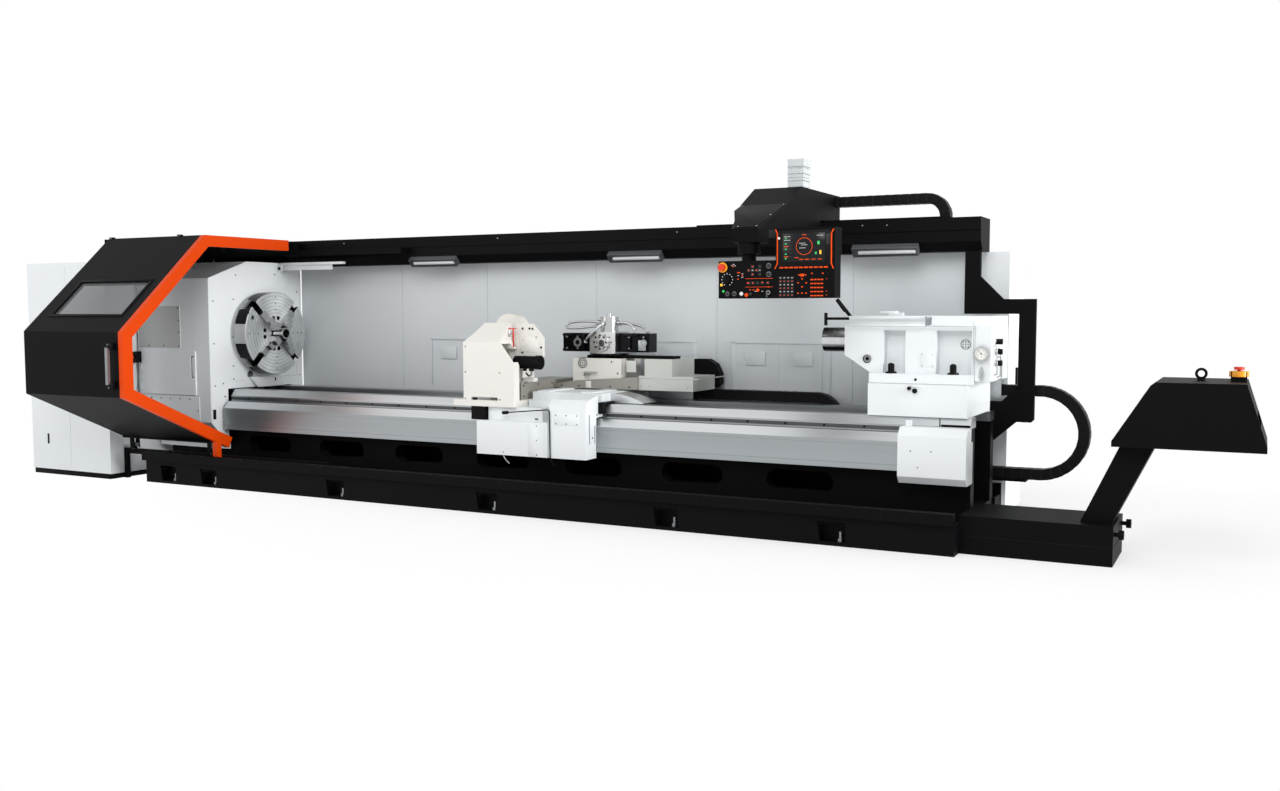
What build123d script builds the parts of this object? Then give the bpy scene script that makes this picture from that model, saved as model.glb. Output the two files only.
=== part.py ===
from build123d import *
import os
from math import cos, radians, sin, sqrt, tan

os.makedirs("parts", exist_ok=True)

# Flat-bed turning lathe. X runs from the chuck face to the tailstock, +Y goes to the rear wall,
# Z is up from the floor and the spindle turns about the line Y = 0, Z = spindle_height.

# Driving sizes, in millimetres
spindle_height = 1390
way_height = 860
slide_gap = 0.5
panel = 30
sheet = 4

# Base, bed and guideways
base_left = -750
base_right = 6820
base_front = -1000
base_rear = 620
base_foot_inset = 50
base_floor = 130
base_lip_height = 285
base_lip_depth = 75
base_lip_width = 70
base_rear_wall = 40
base_end_plate = 20
base_end_top = 205
bed_left = -1030
bed_right = 6800
bed_wall = 100
bed_front = -390
bed_rear = 370
bed_foot = 70
rib_width = 40
rib_pitch = 880
rib_left = -190
rib_count = 8
guide_left = -170
guide_height = 70
guide_lean = 49
guide_width = 126
rib_drop = 120
window_width = 520
window_middle = 350
window_height = 150

# Spindle and chuck
chuck_radius = 400
chuck_width = 150
bore_radius = 62
tube_radius = 52
tube_wall = 9
tube_reach = 130
spindle_radius = 90
running_fit = 0.05
bearing_radius = 150
bearing_width = 80
jaw_width = 66
jaw_foot_width = 96
jaw_slot_depth = 62
jaw_foot_depth = 26
jaw_fit = 0.3
jaw_length = 215
jaw_inner = 72
jaw_step_rise = 34
jaw_step_run = 62

# Headstock casing
casing_left = -1160
casing_right = -200
casing_front = -660
casing_top = 2085
casing_shoulder = 1914
casing_low = 557
panel_seam = 0.5
panel_proud = 5

# Sliding door
door_left = -1110
door_right = 150
door_skin = 30
door_trim_width = 50
door_trim_band = 100

# Back wall and beam
wall_front = 570
wall_left = -195
wall_right = 6530
rail_gap = 0.5
beam_left = -1175
beam_right = 6690
beam_front = 330
beam_rear = 650
beam_low = 2050
beam_top = 2300

# Tailstock
tail_front = -400
tail_body_front = -340
quill_radius = 93

# Lane of the cable chains between the bed and the wall
lane_front = 430
lane_rear = 530
link_height = 78
cart_chain_low = 494
cart_chain_bend = 225
cart_chain_right = 5600
tail_chain_low = 350
tail_chain_bend = 350
tail_chain_right = 7470


def block(x0, x1, y0, y1, z0, z1, mode=Mode.ADD):
    """A plain box between two corners."""
    with Locations(((x0 + x1) / 2, (y0 + y1) / 2, (z0 + z1) / 2)):
        Box(abs(x1 - x0), abs(y1 - y0), abs(z1 - z0), mode=mode)


def prism(plane, points, depth, mode=Mode.ADD):
    """An outline of straight edges on a plane, drawn out by a depth."""
    with BuildSketch(plane) as outline:
        with BuildLine():
            Polyline(*points, close=True)
        make_face()
    extrude(to_extrude=outline.sketch, amount=depth, mode=mode)


def along_x(x0, x1, points, mode=Mode.ADD):
    """A section of (y, z) points that runs from x0 to x1."""
    prism(Plane.YZ.offset(x0), points, x1 - x0, mode)


def along_y(y0, y1, points, mode=Mode.ADD):
    """A section of (x, z) points that runs from y0 back to y1."""
    prism(Plane.XZ.offset(-y1), points, y1 - y0, mode)


def rod_x(x0, x1, y, z, radius, mode=Mode.ADD):
    """A round bar from x0 to x1."""
    with BuildSketch(Plane.YZ.offset(x0)) as end:
        with Locations((y, z)):
            Circle(radius)
    extrude(to_extrude=end.sketch, amount=x1 - x0, mode=mode)


def rod_y(x, y0, y1, z, radius, mode=Mode.ADD):
    """A round bar from y0 back to y1."""
    with BuildSketch(Plane.XZ.offset(-y1)) as end:
        with Locations((x, z)):
            Circle(radius)
    extrude(to_extrude=end.sketch, amount=y1 - y0, mode=mode)


def rod_z(x, y, z0, z1, radius, mode=Mode.ADD):
    """An upright round bar from z0 to z1."""
    with BuildSketch(Plane.XY.offset(z0)) as end:
        with Locations((x, y)):
            Circle(radius)
    extrude(to_extrude=end.sketch, amount=z1 - z0, mode=mode)


# Base: one long chip tray with a raised lip round it, recessed foot and levelling pockets
pocket_places = (-459, 60, 1565, 3132, 4719, 5983)
pocket_width = 200
pocket_height = 140
pocket_depth = 90
pocket_floor = 25

with BuildPart() as base_tray:
    along_x(base_left, base_right, (
        (base_front, base_lip_height),
        (base_front, base_lip_height - base_lip_depth),
        (base_front + base_foot_inset, base_lip_height - base_lip_depth),
        (base_front + base_foot_inset, 0),
        (base_rear, 0),
        (base_rear, base_lip_height),
        (base_rear - base_rear_wall, base_lip_height),
        (base_rear - base_rear_wall, base_floor),
        (base_front + base_lip_width, base_floor),
        (base_front + base_lip_width, base_lip_height),
    ))
    for end in (base_left, base_right - base_end_plate):
        block(end, end + base_end_plate, base_front + base_lip_width, bed_front - 10,
              base_floor, base_end_top)
        block(end, end + base_end_plate, bed_rear + 10, base_rear - base_rear_wall,
              base_floor, base_end_top)
    for place in pocket_places:
        along_y(base_front + base_foot_inset, base_front + base_foot_inset + pocket_depth, (
            (place - pocket_width / 2, pocket_floor + pocket_height),
            (place - pocket_width / 2 + 20, pocket_floor),
            (place + pocket_width / 2, pocket_floor),
            (place + pocket_width / 2, pocket_floor + pocket_height),
        ), Mode.SUBTRACT)
    # Trays for the cable chains of the tailstock and the carriage, on posts behind the bed
    block(5900, 7030, lane_front - 5, lane_rear + 5, tail_chain_low - 20, tail_chain_low - 4)
    for post in (5920, 6700):
        block(post, post + 40, lane_front - 5, lane_rear + 5, base_floor, tail_chain_low - 20)
    block(2300, 5480, lane_front - 5, lane_rear + 5, cart_chain_low - 20, cart_chain_low - 4)
    for post in (2320, 3400, 4400, 5420):
        block(post, post + 40, lane_front - 5, lane_rear + 5, base_floor, cart_chain_low - 20)
base_tray.part.label = "base_tray"
export_step(base_tray.part, "parts/base_tray.step")

# Levelling bolts in the pockets
with BuildPart() as levelling_bolts:
    for place in pocket_places:
        rod_z(place + 55, base_front + base_foot_inset + 45, pocket_floor, pocket_floor + 70, 12)
        with BuildSketch(Plane.XY.offset(pocket_floor)) as nut:
            with Locations((place + 55, base_front + base_foot_inset + 45)):
                RegularPolygon(22, 6)
        extrude(to_extrude=nut.sketch, amount=24)
levelling_bolts.part.label = "levelling_bolts"
export_step(levelling_bolts.part, "parts/levelling_bolts.step")

# Bed: two long walls joined by a floor and cross ribs, with oval core windows in the front wall
bed_top = way_height - guide_height
with BuildPart() as bed_casting:
    along_x(bed_left, bed_right, (
        (bed_front, base_floor),
        (bed_front, bed_top),
        (bed_front + bed_wall, bed_top),
        (bed_front + bed_wall, base_floor + bed_foot),
        (bed_rear - bed_wall, base_floor + bed_foot),
        (bed_rear - bed_wall, bed_top),
        (bed_rear, bed_top),
        (bed_rear, base_floor),
    ))
    rib_places = [rib_left + number * rib_pitch for number in range(rib_count)]
    for rib in [bed_left] + rib_places:
        block(rib, rib + rib_width, bed_front + bed_wall, bed_rear - bed_wall,
              base_floor + bed_foot, bed_top - rib_drop)
    with BuildSketch(Plane.XZ.offset(-bed_front - bed_wall)) as windows:
        for rib in rib_places:
            with Locations((rib + (rib_width - rib_pitch) / 2, window_middle)):
                SlotOverall(window_width, window_height)
    extrude(to_extrude=windows.sketch, amount=bed_wall, mode=Mode.SUBTRACT)
bed_casting.part.label = "bed_casting"
export_step(bed_casting.part, "parts/bed_casting.step")

# Hardened guideways on top of the two bed walls
front_way_edge = bed_front + 9
with BuildPart() as guideways:
    along_x(guide_left, bed_right, (
        (front_way_edge, way_height),
        (front_way_edge - guide_lean, way_height - 57),
        (front_way_edge - guide_lean, bed_top),
        (front_way_edge + guide_width, bed_top),
        (front_way_edge + guide_width, way_height),
    ))
    block(guide_left, bed_right, bed_rear - guide_width, bed_rear + 10, bed_top, way_height)
guideways.part.label = "guideways"
export_step(guideways.part, "parts/guideways.step")

# Rack bolted to the bed under the front guideway, teeth down
rack_front = front_way_edge - guide_lean
rack_low = 712
rack_top = 762
drive_cover_left = 6340
with BuildPart() as gear_rack:
    block(guide_left, drive_cover_left, rack_front, bed_front, rack_low, rack_top)
gear_rack.part.label = "gear_rack"
export_step(gear_rack.part, "parts/gear_rack.step")

# Folded sheet cover along the front of the bed
cover_front = -525
cover_low = 486
with BuildPart() as front_way_cover:
    along_x(guide_left, drive_cover_left, (
        (rack_front, 750),
        (-468, 750),
        (cover_front, 690),
        (cover_front, cover_low),
        (cover_front + 14, cover_low),
        (cover_front + 14, cover_low + sheet),
        (cover_front + sheet, cover_low + sheet),
        (cover_front + sheet, 690 - sheet / 2),
        (-468 + sheet / 2, 750 - sheet),
        (rack_front, 750 - sheet),
    ))
front_way_cover.part.label = "front_way_cover"
export_step(front_way_cover.part, "parts/front_way_cover.step")

# White casing round the headstock: face plate, roof, front cover, left end and back
casing_rear = 560
casing_section = (
    (casing_front, casing_low),
    (casing_front, casing_shoulder),
    (-180, casing_top),
    (283, casing_top),
    (310, beam_low),
    (casing_rear, beam_low),
    (casing_rear, base_lip_height),
    (-425, base_lip_height),
    (-425, 322),
)
casing_inside = (
    (casing_front + panel, casing_low + 14),
    (casing_front + panel, casing_shoulder - 20),
    (-175, casing_top - panel),
    (262, casing_top - panel),
    (289, beam_low - panel),
    (casing_rear - panel, beam_low - panel),
    (casing_rear - panel, base_lip_height),
    (-395, base_lip_height),
    (-395, 334),
)
access_left = -1100
access_right = -372
access_low = 812
access_high = 1226
with BuildPart() as headstock_casing:
    along_x(casing_left, casing_right, casing_section)
    along_x(casing_left + panel, casing_right - panel, casing_inside, Mode.SUBTRACT)
    # Opening in the face plate for the spindle nose, and the notch that stands over the bed
    rod_x(casing_right - panel, casing_right, 0, spindle_height, 230, Mode.SUBTRACT)
    block(casing_right - panel, casing_right, bed_front - 50, bed_rear + 30,
          base_floor, way_height + 6, Mode.SUBTRACT)
    # Opening behind the access door, and the bolted panels on the front
    block(access_left + 20, access_right - 20, casing_front, casing_front + panel,
          access_low + 20, access_high - 20, Mode.SUBTRACT)
    for right, low, high in ((-573, 1256, 1655), (-340, casing_low + 18, 792)):
        block(casing_left + 20, right, casing_front - panel_proud, casing_front, low, high)
    # Seams between the bolted sheets, at the corners of the inside outline
    for seam in (casing_left + panel, casing_right - panel - panel_seam):
        block(seam, seam + panel_seam, casing_front - 1, 600, base_floor, casing_top + 1, Mode.SUBTRACT)
    for (corner_y, corner_z) in casing_inside[0:2] + casing_inside[5:6] + casing_inside[8:9]:
        block(casing_left + panel, casing_right - panel, corner_y - panel - 16, corner_y + panel + 1,
              corner_z, corner_z + panel_seam, Mode.SUBTRACT)
    for (corner_y, corner_z) in casing_inside[2:5]:
        block(casing_left + panel, casing_right - panel, corner_y, corner_y + panel_seam,
              corner_z - 1, casing_top + 1, Mode.SUBTRACT)
    # Guard rail along the top of the wall, with its bracket at the corner of the face plate
    rail_left = casing_right + panel_seam
    block(rail_left, 640, 250, 290, casing_top - 23, casing_top)
    block(rail_left, 480, 270, 284, 2012, casing_top - 23)
    block(rail_left, rail_left + 60, 236, 250, 2000, 2075)
    # Switch box beside the service door
    block(casing_left, -1106, casing_front - 70, casing_front, 1110, 1216)
    rod_y(-1133, casing_front - 84, casing_front - 70, 1163, 18)
headstock_casing.part.label = "headstock_casing"
export_step(headstock_casing.part, "parts/headstock_casing.step")

# Iron headstock box on the bed, bored for the two spindle bearings
box_left = -1020
box_right = -260
box_half = 330
box_top = 1720
with BuildPart() as headstock_casting:
    along_x(box_left, box_right, (
        (-box_half, bed_top),
        (-box_half, box_top - 120),
        (-box_half + 120, box_top),
        (box_half - 120, box_top),
        (box_half, box_top - 120),
        (box_half, bed_top),
    ))
    block(box_left + bearing_width, box_right - bearing_width, -box_half + 60, box_half - 60,
          bed_top + 90, box_top - 90, Mode.SUBTRACT)
    rod_x(box_left, box_right, 0, spindle_height, bearing_radius, Mode.SUBTRACT)
headstock_casting.part.label = "headstock_casting"
export_step(headstock_casting.part, "parts/headstock_casting.step")

# Front and rear spindle bearings
with BuildPart() as spindle_bearings:
    for left in (box_left, box_right - bearing_width):
        rod_x(left, left + bearing_width, 0, spindle_height, bearing_radius)
        rod_x(left, left + bearing_width, 0, spindle_height, spindle_radius + running_fit, Mode.SUBTRACT)
spindle_bearings.part.label = "spindle_bearings"
export_step(spindle_bearings.part, "parts/spindle_bearings.step")

# Spindle: hollow shaft, back plate of the chuck at the nose, belt pulley at the rear end
flange_radius = 200
flange_width = 60
pulley_left = -1125
pulley_width = 84
pulley_radius = 190
groove_depth = 14
groove_count = 4
with BuildPart() as spindle:
    rod_x(pulley_left - 4, -chuck_width, 0, spindle_height, spindle_radius)
    # The chuck's back plate and the belt pulley are rings keyed on the shaft
    for left, width, radius in (
        (-chuck_width - flange_width, flange_width, flange_radius),
        (pulley_left, pulley_width, pulley_radius),
    ):
        with BuildSketch(Plane.YZ.offset(left)) as ring:
            with Locations((0, spindle_height)):
                Circle(radius)
                Circle(spindle_radius + jaw_fit, mode=Mode.SUBTRACT)
        extrude(to_extrude=ring.sketch, amount=width)
    for number in range(groove_count):
        middle = pulley_left + (number + 0.5) * pulley_width / groove_count
        with BuildSketch(Plane.XY) as groove:
            with BuildLine():
                Polyline(
                    (middle - 7, pulley_radius + 1),
                    (middle - 4, pulley_radius - groove_depth),
                    (middle + 4, pulley_radius - groove_depth),
                    (middle + 7, pulley_radius + 1),
                    close=True,
                )
            make_face()
        ring = Plane.XY.offset(spindle_height).location * groove.sketch
        revolve(profiles=ring, axis=Axis((0, 0, spindle_height), (1, 0, 0)),
                revolution_arc=360, mode=Mode.SUBTRACT)
    rod_x(pulley_left - 4, tube_reach, 0, spindle_height, tube_radius)
    rod_x(pulley_left - 4, tube_reach, 0, spindle_height, tube_radius - tube_wall, Mode.SUBTRACT)
spindle.part.label = "spindle"
export_step(spindle.part, "parts/spindle.step")

# Main motor low in the headstock, on a foot that stands on the base, with its own pulley
motor_y = -515
motor_z = 640
motor_radius = 105
motor_left = -1000
motor_right = -520
shaft_radius = 30
with BuildPart() as main_motor:
    rod_x(motor_left, motor_right, motor_y, motor_z, motor_radius)
    block(motor_left + 60, motor_right - 60, -560, bed_front, 520, 545)
    block(motor_left + 60, motor_right - 60, -415, bed_front, 380, 520)
    rod_x(motor_left, motor_left + 60, motor_y, motor_z, shaft_radius + running_fit, Mode.SUBTRACT)
main_motor.part.label = "main_motor"
export_step(main_motor.part, "parts/main_motor.step")

motor_pulley_radius = 88
with BuildPart() as motor_pulley:
    rod_x(pulley_left, pulley_left + pulley_width, motor_y, motor_z, motor_pulley_radius)
    rod_x(pulley_left, motor_left + 58, motor_y, motor_z, shaft_radius)
motor_pulley.part.label = "motor_pulley"
export_step(motor_pulley.part, "parts/motor_pulley.step")

# Belts round the two pulleys, as one ribbed loop
belt_thickness = 9
belt_inset = 4
belt_gap = 0.3
with BuildPart() as drive_belts:
    for growth, mode in ((belt_gap + belt_thickness, Mode.ADD), (belt_gap, Mode.SUBTRACT)):
        with BuildSketch(Plane.YZ.offset(pulley_left + belt_inset)) as loop:
            with Locations((0, spindle_height)):
                Circle(pulley_radius + growth)
            with Locations((motor_y, motor_z)):
                Circle(motor_pulley_radius + growth)
            make_hull()
        extrude(to_extrude=loop.sketch, amount=pulley_width - 2 * belt_inset, mode=mode)
drive_belts.part.label = "drive_belts"
export_step(drive_belts.part, "parts/drive_belts.step")

# Four-jaw chuck: disc with ring grooves, T-slots for the jaws, tapped holes and mounting bolts
ring_radii = (205, 285, 365)
slot_angles = (45, 135, 225, 315)
tapped_radii = (230, 290, 350)
bolt_circle = 152
bolt_head_radius = 20
bolt_sink = 34
bolt_head_height = 22
bolt_spread = 12
ring_width = 4
ring_depth = 3
rim_chamfer = 5
slot_start = jaw_inner - 12
quarters = (0, 90, 180, 270)
face = Plane(origin=(0, 0, spindle_height), x_dir=(0, 1, 0), z_dir=(1, 0, 0))


def turned(plane, angle):
    """The face plane turned about the spindle, so that its local x points along a jaw slot."""
    return Plane(origin=plane.origin, x_dir=plane.x_dir.rotate(Axis.X, angle), z_dir=plane.z_dir)


with BuildPart() as chuck_body:
    rod_x(-chuck_width, 0, 0, spindle_height, chuck_radius)
    chamfer(chuck_body.edges().filter_by(GeomType.CIRCLE), rim_chamfer)
    rod_x(-chuck_width, 0, 0, spindle_height, bore_radius, Mode.SUBTRACT)
    for radius in ring_radii:
        with BuildSketch(face) as ring:
            Circle(radius + ring_width / 2)
            Circle(radius - ring_width / 2, mode=Mode.SUBTRACT)
        extrude(to_extrude=ring.sketch, amount=-ring_depth, mode=Mode.SUBTRACT)
    for angle in slot_angles:
        lane = turned(face, angle)
        with BuildSketch(lane) as slot:
            with Locations(((chuck_radius + slot_start) / 2, 0)):
                Rectangle(chuck_radius - slot_start + 12, jaw_width + 2 * jaw_fit)
        extrude(to_extrude=slot.sketch, amount=-jaw_slot_depth - jaw_fit, mode=Mode.SUBTRACT)
        with BuildSketch(lane.offset(-jaw_slot_depth - jaw_fit)) as undercut:
            with Locations(((chuck_radius + slot_start) / 2, 0)):
                Rectangle(chuck_radius - slot_start + 12, jaw_foot_width + 2 * jaw_fit)
        extrude(to_extrude=undercut.sketch, amount=jaw_foot_depth + 2 * jaw_fit, mode=Mode.SUBTRACT)
    with BuildSketch(face) as tapped:
        for angle in quarters:
            for radius in tapped_radii:
                with Locations((radius * cos(radians(angle)), radius * sin(radians(angle)))):
                    Circle(6)
    extrude(to_extrude=tapped.sketch, amount=-30, mode=Mode.SUBTRACT)
    with BuildSketch(face) as counterbores:
        for angle in quarters:
            for side in (-bolt_spread, bolt_spread):
                with PolarLocations(bolt_circle, 1, start_angle=angle + side):
                    Circle(bolt_head_radius)
    extrude(to_extrude=counterbores.sketch, amount=-bolt_sink, mode=Mode.SUBTRACT)
chuck_body.part.label = "chuck_body"
export_step(chuck_body.part, "parts/chuck_body.step")

# Socket-head bolts that hold the chuck on the spindle flange
with BuildPart() as chuck_bolts:
    for angle in quarters:
        for side in (-bolt_spread, bolt_spread):
            with BuildSketch(face.offset(-bolt_sink)) as head:
                with PolarLocations(bolt_circle, 1, start_angle=angle + side):
                    Circle(bolt_head_radius - 3)
                    RegularPolygon(8, 6, mode=Mode.SUBTRACT)
            extrude(to_extrude=head.sketch, amount=bolt_head_height)
chuck_bolts.part.label = "chuck_bolts"
export_step(chuck_bolts.part, "parts/chuck_bolts.step")

# Four stepped jaws, each with a T-foot that runs in its slot
for number, angle in enumerate(slot_angles, start=1):
    lane = turned(face, angle)
    side = Plane(origin=lane.origin, x_dir=lane.x_dir, z_dir=lane.y_dir)
    with BuildPart() as jaw:
        with BuildSketch(side.offset(-jaw_width / 2)) as profile:
            with BuildLine():
                Polyline(
                    (jaw_inner, jaw_slot_depth),
                    (jaw_inner, -3 * jaw_step_rise),
                    (jaw_inner + jaw_step_run, -3 * jaw_step_rise),
                    (jaw_inner + jaw_step_run, -2 * jaw_step_rise),
                    (jaw_inner + 2 * jaw_step_run, -2 * jaw_step_rise),
                    (jaw_inner + 2 * jaw_step_run, -jaw_step_rise),
                    (jaw_inner + jaw_length, -jaw_step_rise),
                    (jaw_inner + jaw_length, jaw_slot_depth),
                    close=True,
                )
            make_face()
        extrude(to_extrude=profile.sketch, amount=jaw_width)
        with BuildSketch(lane.offset(-jaw_slot_depth)) as foot:
            with Locations((jaw_inner + jaw_length / 2, 0)):
                Rectangle(jaw_length, jaw_foot_width)
        extrude(to_extrude=foot.sketch, amount=jaw_foot_depth)
    jaw.part.label = f"chuck_jaw_{number}"
    export_step(jaw.part, f"parts/chuck_jaw_{number}.step")

# Rear splash wall on the back lip of the base, in panels, with two pairs of raised hatches
hatch_low = 930
hatch_high = 1360
hatch_proud = 8
with BuildPart() as rear_wall:
    block(wall_left, wall_right, wall_front, wall_front + panel, base_lip_height, beam_low)
    for seam in (1107, 2108, 3285, 4455, 5647):
        block(seam - 2, seam + 2, wall_front, wall_front + 4, base_lip_height, beam_low, Mode.SUBTRACT)
    for left, right in ((3490, 4250), (4603, 5390)):
        middle = (left + right) / 2
        block(left, right, wall_front - hatch_proud, wall_front, hatch_low, hatch_high)
        for inner_left, inner_right in ((left + 30, middle - 15), (middle + 15, right - 30)):
            block(inner_left, inner_right, wall_front - hatch_proud, wall_front - 3,
                  hatch_low + 30, hatch_high - 30, Mode.SUBTRACT)
    block(4720, 4890, wall_front - 6, wall_front, 1150, 1255)
    block(5145, 5305, wall_front - 6, wall_front, 1150, 1255)
rear_wall.part.label = "rear_wall"
export_step(rear_wall.part, "parts/rear_wall.step")

# Electrical cabinets: one at the left end, one behind the right end of the wall
cabinet_left = -2310
cabinet_right = -1180
with BuildPart() as electrical_cabinets:
    block(cabinet_left, cabinet_right, base_front, 500, 50, 2075)
    block(cabinet_left + 20, cabinet_right - 20, base_front + 20, 480, 0, 50)
    block(-1746, -1742, base_front, base_front + 5, 90, 2035, Mode.SUBTRACT)
    block(-1700, -1660, base_front - 10, base_front, 880, 1120)
    block(5500, 6850, base_rear, 1250, 50, beam_low)
    block(5540, 6810, base_rear + 60, 1190, 0, 50)
    block(6842, 6850, 900, 904, 120, 1950, Mode.SUBTRACT)
electrical_cabinets.part.label = "electrical_cabinets"
export_step(electrical_cabinets.part, "parts/electrical_cabinets.step")

# Beam over the wall: door rail on its front, linear rails for the pendant, chain tray behind
beam_rail_top = beam_top + 15
top_rail_low = 2150
top_rail_top = 2200
pendant_chain_low = 2155
bracket_front = 384
bracket_rear = 422
header_front = -985
header_low = 2082
header_thickness = 8
with BuildPart() as gantry_beam:
    along_x(beam_left, beam_right, (
        (beam_front - 10, beam_top),
        (beam_front - 10, 2205),
        (beam_front, 2205),
        (beam_front, 2120),
        (beam_front + 60, beam_low),
        (beam_rear, beam_low),
        (beam_rear, beam_top),
    ))
    block(beam_left, 1390, 200, beam_front, top_rail_low, top_rail_top)
    for rail in (380, 570):
        block(4350, 6450, rail, rail + 34, beam_top, beam_rail_top)
    block(4700, 6420, beam_rear, 780, pendant_chain_low - 16, pendant_chain_low - 3)
    # Header panel over the cabinet, bolted to the left end of the beam behind the sliding door
    block(beam_left - panel_seam - header_thickness, beam_left - panel_seam, header_front,
          beam_front, header_low, beam_top - 16)
    # C-shaped bracket that carries the right end of the beam round the tailstock's cable chain
    along_y(bracket_front, bracket_rear, (
        (6565, beam_low), (6680, beam_low), (6680, 1860), (6850, 1690), (7085, 1690), (7085, 800),
        (7065, 780), (6960, 780), (6790, 630), (6790, base_floor), (6620, base_floor),
        (6620, 930), (6850, 930), (6965, 1050), (6965, 1580), (6565, 1580),
    ))
gantry_beam.part.label = "gantry_beam"
export_step(gantry_beam.part, "parts/gantry_beam.step")

# Three lamps on the sloping lower edge of the beam
with BuildPart() as work_lamps:
    for left, right in ((1400, 1930), (3540, 4050), (5710, 6225)):
        along_x(left, right, ((333, 2116.5), (387, 2053.5), (353, 2024), (299, 2087)))
work_lamps.part.label = "work_lamps"
export_step(work_lamps.part, "parts/work_lamps.step")

# Lower rail of the sliding door, on posts in the tray
door_rail_top = 290
door_rail_low = 240
door_rail_front = -850
door_rail_rear = -810
with BuildPart() as door_rail:
    block(cabinet_right + 5, 1400, door_rail_front, door_rail_rear, door_rail_low, door_rail_top)
    block(cabinet_right + 5, cabinet_right + 45, door_rail_front, door_rail_rear, 0, door_rail_low)
    for post in (-600, 300, 1340):
        block(post, post + 40, door_rail_front, door_rail_rear, base_floor, door_rail_low)
door_rail.part.label = "door_rail"
export_step(door_rail.part, "parts/door_rail.step")

# Cover over the drive at the right end of the rack
with BuildPart() as drive_cover:
    along_x(drive_cover_left, 6810, (
        (-600, 460), (-600, 745), (-545, 800), (-440, 800), (-440, 700), (bed_front, 700),
        (bed_front, 410), (-560, 410),
    ))
    block(drive_cover_left + 20, 6400, -470, -440, 800, 840)
drive_cover.part.label = "drive_cover"
export_step(drive_cover.part, "parts/drive_cover.step")

# Chip conveyor: tank on the floor, sloping riser, hooded head with a switch box
tank_right = 7772
tank_top = 256
head_low = 765
head_top = 1170
stop_x = 8440
stop_y = -530
stop_top = head_top + 62
stem_radius = 12
stem_fit = 0.1
with BuildPart() as chip_conveyor:
    block(base_right, tank_right, -815, -246, 0, tank_top)
    block(tank_right - 4, tank_right, -790, -270, 118, 124, Mode.SUBTRACT)
    for stud_y in (-760, -300):
        rod_x(tank_right, tank_right + 28, stud_y, 200, 14)
        rod_x(tank_right + 28, tank_right + 58, stud_y, 200, 30)
    along_y(-700, -360, ((7560, tank_top), (7750, tank_top), (7990, head_low), (7790, head_low)))
    along_y(-860, -200, (
        (7750, head_low), (7750, 800), (7965, 1150), (7990, head_top), (8490, head_top),
        (8607, 800), (8607, head_low),
    ))
    block(8180, 8570, -830, -230, head_low, 980, Mode.SUBTRACT)
    block(stop_x - 45, stop_x + 45, stop_y - 40, stop_y + 40, head_top, stop_top)
    rod_z(stop_x, stop_y, head_top + 20, stop_top, stem_radius + stem_fit, Mode.SUBTRACT)
chip_conveyor.part.label = "chip_conveyor"
export_step(chip_conveyor.part, "parts/chip_conveyor.step")

# Lifting eye on the conveyor head
with BuildPart() as lifting_eye:
    rod_z(8230, stop_y, head_top, head_top + 14, 24)
    with BuildSketch(Plane.XZ.offset(-stop_y - 10)) as eye:
        with Locations((8230, head_top + 44)):
            Circle(36)
            Circle(20, mode=Mode.SUBTRACT)
    extrude(to_extrude=eye.sketch, amount=20)
lifting_eye.part.label = "lifting_eye"
export_step(lifting_eye.part, "parts/lifting_eye.step")

button_gap = 10
with BuildPart() as stop_button:
    rod_z(stop_x, stop_y, stop_top - 30, stop_top + button_gap, stem_radius)
    rod_z(stop_x, stop_y, stop_top + button_gap, stop_top + button_gap + 18, 30)
stop_button.part.label = "stop_button"
export_step(stop_button.part, "parts/stop_button.step")


def banded(points, width):
    """An open run of corners closed into a band of even width, mitred on its left side."""
    inner = []
    for number, (x, y) in enumerate(points):
        before = points[max(number - 1, 0)]
        after = points[min(number + 1, len(points) - 1)]
        first = Vector(x - before[0], y - before[1])
        second = Vector(after[0] - x, after[1] - y)
        if number == 0:
            first = second
        if number == len(points) - 1:
            second = first
        first = Vector(-first.Y, first.X).normalized()
        second = Vector(-second.Y, second.X).normalized()
        mitre = (first + second) * (width / (1 + first.dot(second)))
        inner.append((x + mitre.X, y + mitre.Y))
    return tuple(points) + tuple(reversed(inner))


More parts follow.
